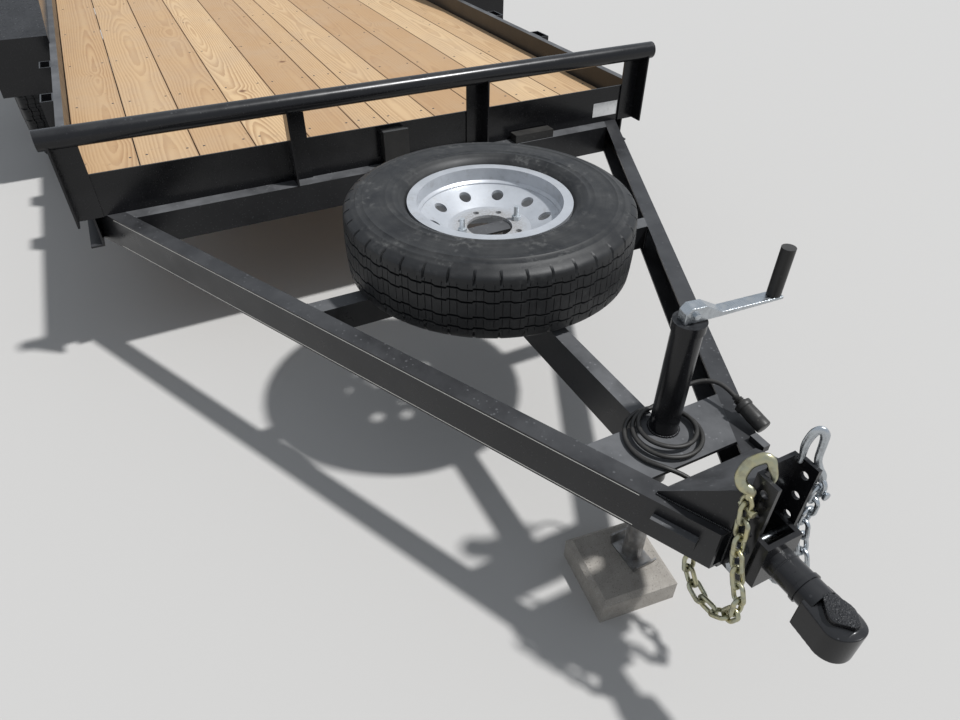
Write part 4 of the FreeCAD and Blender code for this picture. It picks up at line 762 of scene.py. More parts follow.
# Where the slice is cut round the axis, as shares of its width. Below are the numbers, from 0, of
# the cuts where a shoulder slit is sunk and of those where fine lines cross the ribs.
CUTS = (0, 0.10, 0.108, 0.122, 0.13, 0.28, 0.29, 0.32, 0.33, 0.42, 0.428, 0.442, 0.45, 0.60, 0.70,
        0.708, 0.722, 0.73, 0.86, 1)
SLIT, SIPE = (7, 8), (2, 3, 10, 11, 15, 16)


def crown(across):
    """The tread's radius at a distance from the tyre's middle."""
    return TYRE_RADIUS - CROWN_DROP * (across / TREAD_EDGE) ** 2


def half_tread():
    """Points of half a tread: across, radius, and what crosses them."""
    points = [(0, crown(0), "rib"), (9, crown(9), "rib")]
    for groove in GROOVES:
        for off, deep in ((-GROOVE_HALF - 6, 0), (-GROOVE_HALF, 0), (-GROOVE_HALF + 1, GROOVE_DEEP),
                          (GROOVE_HALF - 1, GROOVE_DEEP), (GROOVE_HALF, 0), (GROOVE_HALF + 6, 0)):
            kind = "groove" if abs(off) <= GROOVE_HALF else "rib"
            points.append((groove + off, crown(groove + off) - deep, kind))
    points += [(68, crown(68), "block"), (TREAD_EDGE - 2, crown(TREAD_EDGE - 2), "block"),
               (TREAD_EDGE + 1, crown(TREAD_EDGE) - 0.8, "block")]
    points += [(across, radius, "block") for radius, across in reversed(SHOULDER)]
    return points + [(across, radius, "wall") for radius, across in reversed(SIDEWALL)]


half = half_tread()
outline = [(-across, radius, kind) for across, radius, kind in reversed(half[1:])] + half
print("points across a slice:", len(outline))

# %% Model one slice
SLIT_DEEP, SLIT_FROM, SIPE_DEEP, ZIGZAG = 5, 375, 3, 2.2


def slice_point(across, radius, kind, cut):
    """A point of the slice in millimetres, with the axis along Z."""
    share = CUTS[cut]
    if kind == "groove":
        across += ZIGZAG if 0.30 < share < 0.80 else -ZIGZAG
    if kind == "block" and radius > SLIT_FROM and cut in SLIT:
        radius -= SLIT_DEEP
        across -= math.copysign(SLIT_DEEP * 0.5, across) if abs(across) > TREAD_EDGE else 0
    if kind == "rib" and cut in SIPE:
        radius -= SIPE_DEEP
    angle = 2 * math.pi / PITCHES * share
    return (radius * math.cos(angle) * MM, radius * math.sin(angle) * MM, across * MM)


points = [slice_point(*place, cut) for cut in range(len(CUTS)) for place in outline]
faces = skin(len(CUTS), len(outline))
tyre_slice = mesh_object("tyre_slice", points, faces)
for label, values in (("radius", [radius * MM for _, radius, _ in outline]),
                      ("tread", [float(kind != "wall") for _, _, kind in outline])):
    layer = tyre_slice.data.attributes.new(label, "FLOAT", "POINT")
    layer.data.foreach_set("value", np.tile(np.array(values, np.float32), len(CUTS)))
print("slice faces:", len(faces))

# %% [markdown]
# The tree takes any object and repeats it round the Z axis: points in place, one instance on each,
# turned by its number, then made real and merged where the slices meet. An array with an empty
# could do it too, but the tree has its count as a named input and leaves no helper object.

# %% A Geometry Nodes tree that repeats a piece round an axis


def new_geometry_tree(name, inputs):
    """A geometry tree with named inputs, and its two end nodes."""
    tree = bpy.data.node_groups.new(name, "GeometryNodeTree")
    tree.interface.new_socket("Geometry", in_out="INPUT", socket_type="NodeSocketGeometry")
    for label, kind, value in inputs:
        socket = tree.interface.new_socket(label, in_out="INPUT", socket_type="NodeSocket" + kind)
        if value is not None:
            socket.default_value = value
    tree.interface.new_socket("Geometry", in_out="OUTPUT", socket_type="NodeSocketGeometry")
    return tree, tree.nodes.new("NodeGroupInput").outputs, tree.nodes.new("NodeGroupOutput").inputs


def add_tree(made, tree, values):
    """Puts a tree on an object and sets its inputs by their sockets' identifiers."""
    modifier = made.modifiers.new(tree.name, "NODES")
    modifier.node_group = tree
    for item in tree.interface.items_tree:
        if item.item_type == "SOCKET" and item.in_out == "INPUT" and item.name in values:
            modifier[item.identifier] = values[item.name]
    return made


def set_copies(tree, points, piece, turn, **more):
    """Sets a copy of an object on each point, turned, and makes the copies real."""
    shape = node(tree, "GeometryNodeObjectInfo", {"Object": piece}).outputs["Geometry"]
    inputs = {"Points": points, "Instance": shape, "Rotation": turn, **more}
    placed = node(tree, "GeometryNodeInstanceOnPoints", inputs)
    return node(tree, "GeometryNodeRealizeInstances", {0: placed.outputs[0]}).outputs[0]


def finish_tree(tree, shape, finish, result):
    """Gives a shape its material and ends the tree."""
    made = node(tree, "GeometryNodeSetMaterial", {"Geometry": shape, "Material": finish})
    tree.links.new(made.outputs[0], result[0])


def ring_tree():
    """Repeats a piece round the Z axis and joins the copies."""
    tree, given, result = new_geometry_tree(
        "repeat round an axis",
        [("Piece", "Object", None), ("Count", "Int", 12), ("Finish", "Material", None)])
    spots = node(tree, "GeometryNodePoints", {"Count": given["Count"]})
    index = node(tree, "GeometryNodeInputIndex").outputs[0]
    step = sums(tree, "DIVIDE", 2 * math.pi, given["Count"])
    turn = node(tree, "ShaderNodeCombineXYZ", {2: times(tree, index, step)}).outputs[0]
    real = set_copies(tree, spots.outputs[0], given["Piece"], turn)
    merged = node(tree, "GeometryNodeMergeByDistance",
                  {"Geometry": real, "Distance": 10 * SAME_PLACE})
    finish_tree(tree, merged.outputs[0], given["Finish"], result)
    return tree


carrier = mesh_object("tyre_ring", [(0, 0, 0)], [])
add_tree(carrier, ring_tree(), {"Piece": tyre_slice, "Count": PITCHES, "Finish": RUBBER})
tyre = baked(carrier, "tyre_pattern")
bpy.data.objects.remove(tyre_slice)
outward(tyre.data)
smooth_to(tyre.data, 38)
print("tyre triangles:", triangles(tyre))

# %% [markdown]
# One ring serves all five tyres, because they are alike. Each copy is turned so that its axis lies
# across the trailer, or stands up for the spare, and is put at the middle of the CAD tyre that it
# replaces. The turn goes into the mesh, so that the object itself stays unturned.

# %% Put a tyre on each wheel


def copy_of(pattern, name, matrix):
    """A copy whose place is in its mesh."""
    data = pattern.data.copy()
    data.name = name
    data.transform(matrix)
    return linked(name, data)


tyres = {}
for axle in ("front", "rear"):
    for side, turn in (("left", -90), ("right", 90)):
        cad = "tyre_%s_%s" % (axle, side)
        tilt = Matrix.Rotation(math.radians(turn), 4, "X")
        tyres[cad] = ("wheel_%s_%s" % (axle, side), Matrix.Translation(middle_of(cad)) @ tilt)
tyres["spare_tyre"] = ("root", Matrix.Translation(middle_of("spare_tyre")))
for cad, (body, matrix) in tyres.items():
    made = copy_of(tyre, "treaded_" + cad, matrix)
    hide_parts(cad)
    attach(made, body)
bpy.data.objects.remove(tyre)
print("tyres:", len(tyres))

# %% [markdown]
# ## Chain links and hooks
# A welded chain hangs with each link turned a quarter against the last. In the frame a link is a
# bar with a few flat sides. Laying the chain again along a curve would move the links, and they
# would cut into each other. A smooth link can be put exactly in its place instead, because the
# frame's own mesh says where each one is: the points of one loose part, their middle, and the two
# directions in which they spread most.

# %% Find the links in the frame
LINK_SPAN = 60


def loose_parts(source):
    """The separate closed parts of a CAD node, each as an array of its points."""
    shape = bmesh.new()
    shape.from_mesh(source.data)
    bmesh.ops.remove_doubles(shape, verts=shape.verts, dist=SAME_PLACE)
    shape.verts.index_update()
    seen, parts = set(), []
    for first in shape.verts:
        if first in seen:
            continue
        stack, found = [first], set()
        while stack:
            vertex = stack.pop()
            if vertex not in found:
                found.add(vertex)
                stack += [edge.other_vert(vertex) for edge in vertex.link_edges]
        seen |= found
        in_order = sorted(found, key=lambda vertex: vertex.index)
        parts.append(np.array([tuple(vertex.co) for vertex in in_order]))
    shape.free()
    return parts


def main_ways(points):
    """The three directions in which some points spread, from the least to the most."""
    return np.linalg.eigh(np.cov((points - points.mean(0)).T))[1]


def reach(points):
    """How far points reach along their own main directions, in millimetres."""
    return np.ptp(points @ main_ways(points), axis=0).max() / MM


chains = {}
for side in ("left", "right"):
    parts = loose_parts(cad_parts["safety_chain_" + side])
    links = [points for points in parts if reach(points) < LINK_SPAN]
    chains[side] = [(points.mean(0), *main_ways(points).T[:0:-1]) for points in links]
    print("chain", side, "has", len(links), "links and", len(parts) - len(links), "hook")

# %% [markdown]
# A link is one round wire bent into a long ring. The tree sets a link on each stored place and
# turns it twice: its length to the chain's way, then its width to the second direction. Two
# directions are enough, because the third follows from them.

# %% A smooth link and a tree that places it
LINK_LONG, LINK_WIDE, WIRE = 52, 32, 9
BEND_STEPS, WIRE_SIDES = 12, 12


def link_mesh():
    """A chain link: straight sides and round ends, lengthwise along X and its width along Y."""
    bend = (LINK_WIDE - WIRE) / 2
    straight = (LINK_LONG - LINK_WIDE) / 2
    points = []
    for sign in (1, -1):
        for i in range(BEND_STEPS + 1):
            angle = math.radians(-90 + 180 * i / BEND_STEPS)
            outward_way = Vector((sign * math.cos(angle), sign * math.sin(angle), 0))
            middle = Vector((sign * straight, 0, 0)) + outward_way * bend
            for j in range(WIRE_SIDES):
                turn = 2 * math.pi * j / WIRE_SIDES
                off = outward_way * math.cos(turn) + Vector((0, 0, math.sin(turn)))
                points.append((middle + off * WIRE / 2) * MM)
    rows = len(points) // WIRE_SIDES
    made = mesh_object("link_pattern", points, skin(rows, WIRE_SIDES, closed=True))
    outward(made.data)
    made.data.shade_smooth()
    return made


def placed_tree():
    """Sets a piece on each point, turned to the point's own two directions."""
    tree, given, result = new_geometry_tree(
        "pieces on points", [("Piece", "Object", None), ("Finish", "Material", None)])
    turn = None
    for label, axis, pivot in (("along", "X", "AUTO"), ("wide", "Y", "X")):
        way = node(tree, "GeometryNodeInputNamedAttribute", {"Name": label},
                   data_type="FLOAT_VECTOR").outputs[0]
        inputs = {"Vector": way}
        if turn is not None:
            inputs["Rotation"] = turn
        turn = node(tree, "FunctionNodeAlignRotationToVector", inputs, axis=axis,
                    pivot_axis=pivot).outputs[0]
    real = set_copies(tree, given["Geometry"], given["Piece"], turn)
    finish_tree(tree, real, given["Finish"], result)
    return tree


PLACED = placed_tree()


def set_on_points(name, piece, finish, places):
    """Copies of a piece at places of (point, along, wide), as one plain mesh."""
    points, *ways = zip(*places)
    made = mesh_object(name + "_points", points, [])
    for label, way in zip(("along", "wide"), ways):
        layer = made.data.attributes.new(label, "FLOAT_VECTOR", "POINT")
        layer.data.foreach_set("vector", np.array([tuple(one) for one in way], np.float32).ravel())
    add_tree(made, PLACED, {"Piece": piece, "Finish": finish})
    return baked(made, name)

# %% Hang the links
link_pattern = link_mesh()
CHAIN_FINISH = {"left": (ZINC, "zinc_steel"), "right": (GOLD_ZINC, "yellow_zinc")}
for side, places in chains.items():
    finish, slot = CHAIN_FINISH[side]
    made = set_on_points("chain_links_" + side, link_pattern, finish, places)
    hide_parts("safety_chain_" + side)
    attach(made, "root")
    print(made.name, "triangles:", triangles(made))
bpy.data.objects.remove(link_pattern)

# %% [markdown]
# The hooks are forged, with no sharp edge anywhere. They could be sculpted, but a few numbers say
# as much: each is a bar along a curve in one plane, given by some points with half its width, a
# smooth line drawn through them, and an oval section swept along it. At the foot a small bent bar
# and a pin take the first link.

# %% A smooth bar along a few points
BAR_SIDES = 16
# Each end is closed by two narrower rings: how much further out each lies and how wide it is, as
# shares of the bar's half width.
ROUND_END = ((0.245, 0.86), (0.3311, 0.5))


def caps(rows, count):
    """The two end faces of an open skin."""
    return [tuple(range(count)), tuple(range((rows - 1) * count, rows * count))]


def smooth_rows(rows, steps=7):
    """Rows of numbers with more rows between them on a smooth line."""
    ends = [2 * rows[0] - rows[1]] + list(rows) + [2 * rows[-1] - rows[-2]]
    made = []
    for i in range(1, len(ends) - 2):
        a, b, c, d = ends[i - 1:i + 3]
        for t in np.arange(steps) / steps:
            made.append(0.5 * (2 * b + (c - a) * t + (2 * a - 5 * b + 4 * c - d) * t ** 2
                               + (3 * b - a - 3 * c + d) * t ** 3))
    return made + [np.array(rows[-1], float)]


def oval_bar(name, start, across, up, rows, flatness):
    """A bar with an oval section and round ends. Each row is a place across and up, and half the
    bar's width, in millimetres."""
    rows = smooth_rows([np.array(row, float) for row in rows])
    normal = across.cross(up)
    spots = [across * float(row[0]) + up * float(row[1]) for row in rows]
    ways = [(after - before).normalized()
            for before, after in zip(spots[:1] + spots[:-1], spots[1:] + spots[-1:])]
    widths = [float(row[2]) for row in rows]
    first, last = widths[0], widths[-1]
    for step, narrow in ROUND_END:
        spots = [spots[0] - ways[0] * first * step] + spots + [spots[-1] + ways[-1] * last * step]
        widths = [first * narrow] + widths + [last * narrow]
        ways = [ways[0]] + ways + [ways[-1]]
    points = []
    for spot, width, way in zip(spots, widths, ways):
        side = way.cross(normal)
        for k in range(BAR_SIDES):
            angle = 2 * math.pi * k / BAR_SIDES
            off = side * width * math.cos(angle) + normal * width * flatness * math.sin(angle)
            points.append(start + (spot + off) * MM)
    faces = skin(len(spots), BAR_SIDES) + caps(len(spots), BAR_SIDES)
    made = mesh_object(name, points, faces)
    outward(made.data)
    made.data.shade_smooth()
    return made

# %% [markdown]
# The pin through a hook's foot is a turned piece, as bolts, washers and rings are. An outline that
# gives the radius at each step along the axis is set round it on spokes. A modifier could do the
# same, but a plain mesh needs no turning back afterwards. Pieces that belong together are then
# joined, so that each hook is one object.

# %% Turned pieces


def spokes(way, count):
    """Directions evenly round a line, at right angles to it."""
    first = way.orthogonal().normalized()
    second = way.cross(first)
    turns = [2 * math.pi * i / count for i in range(count)]
    return [first * math.cos(turn) + second * math.sin(turn) for turn in turns]


def lathe(name, start, way, outline, sides=48):
    """An outline of (along, radius) in millimetres turned about a line, closed at both ends."""
    way = way.normalized()
    points = [start + way * along * MM + off * radius * MM
              for along, radius in outline for off in spokes(way, sides)]
    made = mesh_object(name, points, skin(len(outline), sides) + caps(len(outline), sides))
    outward(made.data)
    smooth_to(made.data, 35)
    return made


def joined(name, pieces):
    """Several pieces as one mesh object."""
    shape = bmesh.new()
    for piece in pieces:
        shape.from_mesh(piece.data)
        bpy.data.objects.remove(piece)
    data = bpy.data.meshes.new(name)
    shape.to_mesh(data)
    shape.free()
    return linked(name, data)

# %% Forge the hooks
HOOKS = {
    "right": ((2, -49, 7), (-3, -35, 10), (-17, -29.5, 11), (-29.5, -16, 11), (-34, -1, 11),
              (-33, 18, 11), (-20, 33, 11), (-8, 31, 10), (3, 18, 8), (13.6, 3, 6),
              (16.2, -7, 4.5)),
    "left": ((-30.5, -38, 7), (-26, -24, 8), (-17, -8, 7), (-10, 12, 6.5), (-7, 49, 7), (-4, 66, 8),
             (4.5, 74, 8), (12, 66, 8), (16, 50, 7.5), (17, 32, 7), (14.5, 10, 5.5), (14, -6, 4)),
}
# Where each hook crosses the channel's flange, and how far its foot leans out, in degrees.
HOOK_AT = {"right": (1796, 28), "left": (1806, 0)}
HOOK_FLAT = 0.65
FORK = ((-9.5, -28, 4.2), (-9.5, -6, 4.2), (0, 4, 4.2), (9.5, -6, 4.2), (9.5, -28, 4.2))
# The pin's small end, shank and head. It starts back and down from the hook's foot.
PIN = ((0, 4), (1, 5), (28.5, 5), (28.6, 7.4), (29.6, 8), (33.8, 8), (34.5, 7))
PIN_BACK, PIN_DROP = 13.5, 22
FLANGE_MIDDLE, FLANGE_EDGE = 46, 100
forward_way, upward = Vector((1, 0, 0)), Vector((0, 0, 1))
for side, sign in (("left", 1), ("right", -1)):
    finish, slot = CHAIN_FINISH[side]
    forward, lean = HOOK_AT[side]
    across = Vector((-sign, -sign, 0)).normalized()
    up = Vector((0, -sign * math.sin(math.radians(lean)), math.cos(math.radians(lean))))
    over = at(forward, sign * FLANGE_MIDDLE, FLANGE_EDGE)
    foot = over + (across * HOOKS[side][0][0] + up * HOOKS[side][0][1]) * MM
    pin_from = foot - upward * PIN_DROP * MM - forward_way * PIN_BACK * MM
    made = joined("hook_" + side, [oval_bar("body", over, across, up, HOOKS[side], HOOK_FLAT),
                                   oval_bar("fork", foot, forward_way, upward, FORK, 1),
                                   lathe("pin", pin_from, forward_way, PIN, sides=24)])
    wear(made, finish)
    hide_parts("safety_chain_" + side)
    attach(made, "root")
    print(made.name, "triangles:", triangles(made))

# %% [markdown]
# ## Castings and pressings
# The coupler's head is a casting and the jack's crank a pressing, both with rounded edges, where
# their CAD solids have sharp ones. A bevel on a CAD mesh's loose triangles makes creases. So a copy
# of each solid is remeshed into small even faces and smoothed a few times, which wears the edges
# round and leaves the piece in its place.

# %% Round the edges of cast and pressed steel
# The leaf pad's foot and the height from which the casting's top is bowed.
PAD_FOOT, BOW_FROM = DECK_TOP - 73.5 * MM, DECK_TOP - 110 * MM
PAD_POINT, BOW, HEAD_HALF = 0.72, 13 * MM, 39 * MM


def leaf_pad(data):
    """Shapes the coupler head's thumb pad as a leaf, and bows the casting's top."""
    places = np.empty(len(data.vertices) * 3)
    data.vertices.foreach_get("co", places)
    places = places.reshape(-1, 3)
    x, y, z = places.T
    pad = z > PAD_FOOT
    low, high = x[pad].min(), x[pad].max()
    share = np.abs(2 * (x - (low + high) / 2) / (high - low))
    y[pad] *= 1 - PAD_POINT * share[pad] ** 1.7
    top = np.clip((z - BOW_FROM) / (PAD_FOOT - BOW_FROM), 0, 1)
    z -= top * BOW * (y / HEAD_HALF) ** 2
    data.vertices.foreach_set("co", places.ravel())
    data.update()


def rounded(cad, grain, turns):
    """A copy of a CAD node with its edges worn round: small even faces of a size in millimetres,
    smoothed so many times."""
    shape = bmesh.new()
    shape.from_mesh(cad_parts[cad].data)
    bmesh.ops.remove_doubles(shape, verts=shape.verts, dist=SAME_PLACE)
    data = bpy.data.meshes.new(cad + "_rounded")
    shape.to_mesh(data)
    shape.free()
    made = linked(data.name, data)
    made.modifiers.new("even faces", "REMESH").voxel_size = grain * MM
    smooth = made.modifiers.new("round edges", "SMOOTH")
    smooth.factor = 0.5
    smooth.iterations = turns
    return baked(made, cad + "_rounded")


head = rounded("coupler_head", 1.2, 6)
leaf_pad(head.data)
crank = rounded("jack_crank", 0.9, 4)
for made, cad, finish, slot in ((head, "coupler_head", CAST_PAINT, "black_paint"),
                                (crank, "jack_crank", ZINC, "zinc_steel")):
    made.data.shade_smooth()
    wear(made, finish)
    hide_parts(cad)
    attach(made, "root")
    print(made.name, "triangles:", triangles(made))

# %% [markdown]
# ## The plug
# The cable ends in a round plug with a ribbed neck. It is moulded round its own axis, so an outline
# turned about the cable's last stretch gives it, as long and as wide as the CAD plug that it
# replaces.

# %% Turn the plug
PLUG = ((0, 7.6), (3, 8), (5, 6.8), (7, 8), (9, 10.4), (11, 9), (13, 11), (15, 9.4), (17, 11),
        (19, 10), (20, 14), (21, 18.4), (22.5, 19), (31, 19), (33, 17.6), (34, 16.6), (50, 17),
        (66, 17), (68, 16.6), (69, 17), (84, 17), (87, 16.2), (88, 14.5))
plug = lathe("plug_body", route[-1], route[-1] - route[-2], PLUG)
wear(plug, PLASTIC)
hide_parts("harness_plug")
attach(plug, "root")
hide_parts("harness_cable")
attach(cable, "root")
print("plug is", PLUG[-1][0], "mm long")

# %% [markdown]
# ## Screws in the deck
# Each plank is held by a pair of dark screws at every joist, and none stands quite in line or
# turned alike. Two hundred like heads are work for the same tree that placed the links, and a
# seeded random generator gives each its own small shift and turn.

# %% Screw rows
# A screw head's outline as (along, radius): its rim below the wood, its top and its socket.
HEAD = ((-0.6, 4.6), (0.495, 4.6), (0.9, 3.772), (0.9, 1.6), (0.1, 1.3))
# Rows of screws: one at the front, one on each joist from the first, and one at the rear.
FRONT_ROW, FIRST_ROW, JOIST_PITCH, ROWS, REAR_ROW = -124, -299, -610, 7, -4210
# A screw's distance from its plank's edge, how far it may be off, and the wide planks on a side.
FROM_EDGE, OFF_LINE, PLANK_PAIRS = 26, 5, 5


def plank_middles():
    """Each plank's middle and width, from the narrow one in the middle out."""
    rows = [(0, NARROW)]
    for number in range(PLANK_PAIRS):
        off = NARROW / 2 + GAP + BOARD / 2 + number * (BOARD + GAP)
        rows += [(off, BOARD), (-off, BOARD)]
    return rows


rng = np.random.default_rng(7)
places = []
for row in [FRONT_ROW] + [FIRST_ROW + JOIST_PITCH * i for i in range(ROWS)] + [REAR_ROW]:
    for middle, wide in plank_middles():
        for sign in (-1, 1):
            off = rng.uniform(-OFF_LINE, OFF_LINE, 2)
            spin = rng.uniform(0, math.pi)
            spot = at(row + off[0], middle + sign * (wide / 2 - FROM_EDGE) + off[1], 0)
            along = Vector((math.cos(spin), math.sin(spin), 0))
            places.append((spot, along, upward.cross(along)))
screw_pattern = lathe("screw_pattern", Vector((0, 0, 0)), upward, HEAD, sides=14)
SCREW_STEEL = plain_black("dark screw steel", 0.05, 0.45, 400)
screws = set_on_points("deck_screws", screw_pattern, SCREW_STEEL, places)
bpy.data.objects.remove(screw_pattern)
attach(screws, "root")
print("screws:", len(places))

# %% [markdown]
# ## Lozenges on the fenders
# Tread plate has a raised lozenge in every cell of a square grid, turned a quarter from one to the
# next. A bump would do from afar, but its edge would stay flat against the light. So each lozenge
# is a small solid with eight corners: the grid is laid on each fender's three upper faces,
# from the CAD box of each fender node, and the tree puts one on each crossing.

# %% Lay the lozenges
# The grid's cell and its distance from a face's edges, a lozenge's top as a share of its foot, and
# how far its foot lies in the sheet.
CELL, MARGIN, TOP_SHARE, SUNK = 29, 14, 0.62, 0.3
# Half a lozenge's length and width, and its height.
LOZENGE_LONG, LOZENGE_WIDE, LOZENGE_HIGH = 14, 4.2, 1.6
# The slope of a fender's two outer faces, and the height of the middle one above the deck.
FENDER_SLOPE = math.radians(17)
SHEET_RISE = 262


def lozenge_mesh():
    """A flat-topped lozenge, lengthwise along X, with its foot a little in the sheet."""
    foot = ((LOZENGE_LONG, 0), (0, LOZENGE_WIDE), (-LOZENGE_LONG, 0), (0, -LOZENGE_WIDE))
    points = [(x * MM, y * MM, -SUNK * MM) for x, y in foot]
    points += [(x * TOP_SHARE * MM, y * TOP_SHARE * MM, LOZENGE_HIGH * MM) for x, y in foot]
    return mesh_object("lozenge", points, skin(2, len(foot)) + [(4, 5, 6, 7), (3, 2, 1, 0)])


def top_grid(corner, along, across, long, wide):
    """Places on one flat face: from a corner, in steps along and across it."""
    places = []
    for i in range(int((long - 2 * MARGIN) // CELL) + 1):
        for j in range(int((wide - 2 * MARGIN) // CELL) + 1):
            spot = corner + (along * (MARGIN + i * CELL) + across * (MARGIN + j * CELL)) * MM
            turn = 1 if (i + j) % 2 else -1
            way = (along + across * turn).normalized()
            places.append((spot, way, (across - along * turn).normalized()))
    return places


lozenge = lozenge_mesh()
top = DECK_TOP + SHEET_RISE * MM
for side, sign in (("left", 1), ("right", -1)):
    low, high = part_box("fender_top_" + side)
    inner_y = low.y if sign > 0 else high.y
    out, wide = Vector((0, sign, 0)), (high.y - low.y) / MM
    places = top_grid(Vector((low.x, inner_y, top)), forward_way, out, (high.x - low.x) / MM, wide)
    for end, sense in (("front", 1), ("rear", -1)):
        end_low, end_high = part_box("fender_%s_%s" % (end, side))
        run = (end_high.x - end_low.x) / MM / math.cos(FENDER_SLOPE)
        bend = Vector((end_low.x if sense > 0 else end_high.x, inner_y, top))
        along = Vector((sense * math.cos(FENDER_SLOPE), 0, -math.sin(FENDER_SLOPE)))
        places += top_grid(bend, along, out, run, wide)
    made = set_on_points("lozenges_" + side, lozenge, LOZENGE_PAINT, places)
    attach(made, "root")
    print(made.name, len(places), "triangles:", triangles(made))
bpy.data.objects.remove(lozenge)

# %% [markdown]
# ## Weld beads
# Where plates and rails meet there is a bead like a row of overlapping coins. A smooth strip would
# look like glue. The tree walks along a line, sets a small flattened bead at each step, turns it to
# the line and makes it a little larger or smaller than the last.

# %% A tree that lays a weld
BEAD_STEP, BEAD_WIDE, BEAD_FLAT = 3.4, 3.6, 0.75


def bead_mesh():
    """A low round bead, a few dozen faces."""
    data = bpy.data.meshes.new("bead_pattern")
    shape = bmesh.new()
    bmesh.ops.create_icosphere(shape, subdivisions=1, radius=BEAD_WIDE * MM)
    bmesh.ops.scale(shape, vec=(BEAD_FLAT, 1, 1), verts=shape.verts)
    shape.to_mesh(data)
    shape.free()
    data.shade_smooth()
    return linked("bead_pattern", data)


def weld_tree():
    """Beads along the edges of a mesh, turned to its way and of slightly different sizes."""
    tree, given, result = new_geometry_tree(
        "weld along a line", [("Bead", "Object", None), ("Step", "Float", 0.0034),
                              ("Seed", "Int", 3), ("Finish", "Material", None)])
    line = node(tree, "GeometryNodeMeshToCurve", {0: given["Geometry"]}).outputs[0]
    steps = node(tree, "GeometryNodeResampleCurve", {"Curve": line, "Length": given["Step"]},
                 mode="LENGTH").outputs[0]
    way = node(tree, "GeometryNodeInputTangent").outputs[0]
    turn = node(tree, "FunctionNodeAlignRotationToVector", {"Vector": way}, axis="X").outputs[0]
    size = node(tree, "FunctionNodeRandomValue", {2: 0.85, 3: 1.15, "Seed": given["Seed"]},
                data_type="FLOAT").outputs[1]
    real = set_copies(tree, steps, given["Bead"], turn, Scale=size)
    finish_tree(tree, real, given["Finish"], result)
    return tree

# %% Lay the welds
# The tongue rails' turn from straight ahead, and how far out their outer faces start at the bed.
TONGUE_TURN = math.radians(26.4)
SLOPE, ROOT = math.tan(TONGUE_TURN), 966.6
# The heights of the rails' upper and lower edges, and the rails' width.
RAIL_TOP, RAIL_LOW, RAIL_WIDE = -54, -156, 48
# The hood between the rails: its ends and its distance from their faces. Half the coupler channel.
HOOD_BACK, HOOD_FRONT, HOOD_IN, CHANNEL_HALF = 1655, 1784, 21, 50
# The jack's middle, and the radius of the seam round its tube.
JACK_AT, JACK_SEAM = 1519, 31
# The edges of the tie under the spare, and the stake pockets behind the bed's front edge: their
# middles, half a pocket's length, and the face that they are welded to.
SPARE_TIE_EDGES = (749, 800)
POCKETS, POCKET_HALF, POCKET_FACE = (812, 1273, 3680, 4130), 50.5, 1054.5
# How far a bead's middle stands off the corner that it fills.
PROUD = 1


def rail_face(forward):
    """How far the tongue rail's outer face is from the middle."""
    return ROOT - SLOPE * forward


def ring_of(forward, left, up, radius, count=28):
    """A closed ring of places."""
    angles = [2 * math.pi * i / count for i in range(count + 1)]
    return [(forward + radius * math.cos(angle), left + radius * math.sin(angle), up)
            for angle in angles]


seams = [ring_of(JACK_AT, 0, RAIL_TOP + PROUD, JACK_SEAM)]
for sign in (1, -1):
    seams.append([(forward, sign * (rail_face(edge) - HOOD_IN + PROUD), RAIL_TOP + PROUD)
                  for forward, edge in ((HOOD_BACK + 2, HOOD_BACK), (HOOD_FRONT, HOOD_FRONT))])
    seams.append([(HOOD_FRONT - PROUD, sign * (CHANNEL_HALF + PROUD), up)
                  for up in (RAIL_LOW, RAIL_TOP)])
    for forward in SPARE_TIE_EDGES:
        inner = rail_face(forward) - RAIL_WIDE / math.cos(TONGUE_TURN) - PROUD
        seams.append([(forward, sign * inner, up) for up in (RAIL_TOP - 2, RAIL_TOP - 72)])
    for middle in POCKETS:
        for end in (-POCKET_HALF, POCKET_HALF):
            seams.append([(-middle + end, sign * POCKET_FACE, up) for up in (-20, 80)])
points, edges = [], []
for seam in seams:
    edges += [(len(points) + i, len(points) + i + 1) for i in range(len(seam) - 1)]
    points += [tuple(at(*place)) for place in seam]
data = bpy.data.meshes.new("weld_lines")
data.from_pydata(points, edges, [])
lines = linked("weld_lines", data)
bead_pattern = bead_mesh()
add_tree(lines, weld_tree(), {"Bead": bead_pattern, "Step": BEAD_STEP * MM, "Finish": CLEAN_PAINT})
welds = baked(lines, "weld_beads")
bpy.data.objects.remove(bead_pattern)
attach(welds, "root")
print("weld triangles:", triangles(welds))

# %% [markdown]
# ## Tape stripes and a blank label
# Two thin pale stripes of tape run along each tongue rail, near its upper and lower edge, and a
# plain white label is stuck on the header. They could be painted by a mask, but a mask on so thin a
# stripe blurs. So both are thin sheets that stand a fraction of a millimetre off the steel, cut to
# the rail's slope.

# %% Cut the tape
TAPE_HIGH, TAPE_THICK, TAPE_IN = 2.0, 0.25, 5
TAPE_BACK, TAPE_END = 30, 1640
LABEL_FROM, LABEL_TO, LABEL_TOP, LABEL_FOOT, LABEL_THICK = 851, 966, 25, -30, 0.4


def slab(name, corners, thickness, away):
    """A thin closed sheet from four corners, thickened along a direction."""
    front = [at(*corner) + away * thickness * MM for corner in corners]
    back = [at(*corner) for corner in corners]
    made = mesh_object(name, front + back, skin(2, 4) + caps(2, 4))
    outward(made.data)
    return made


def tape(name, colour, roughness):
    """Vinyl tape with faint scuffs."""
    made, tree, shader, place = new_material(name)
    scuff = span(tree, noise(tree, place, 70, 5, 0.7), 0.5, 0.8, 0, 0.5)
    look(tree, shader, Base_Color=blend(tree, scuff, colour, (0.30, 0.29, 0.27, 1)),
         Roughness=span(tree, scuff, 0, 0.5, roughness, 0.8))
    return made


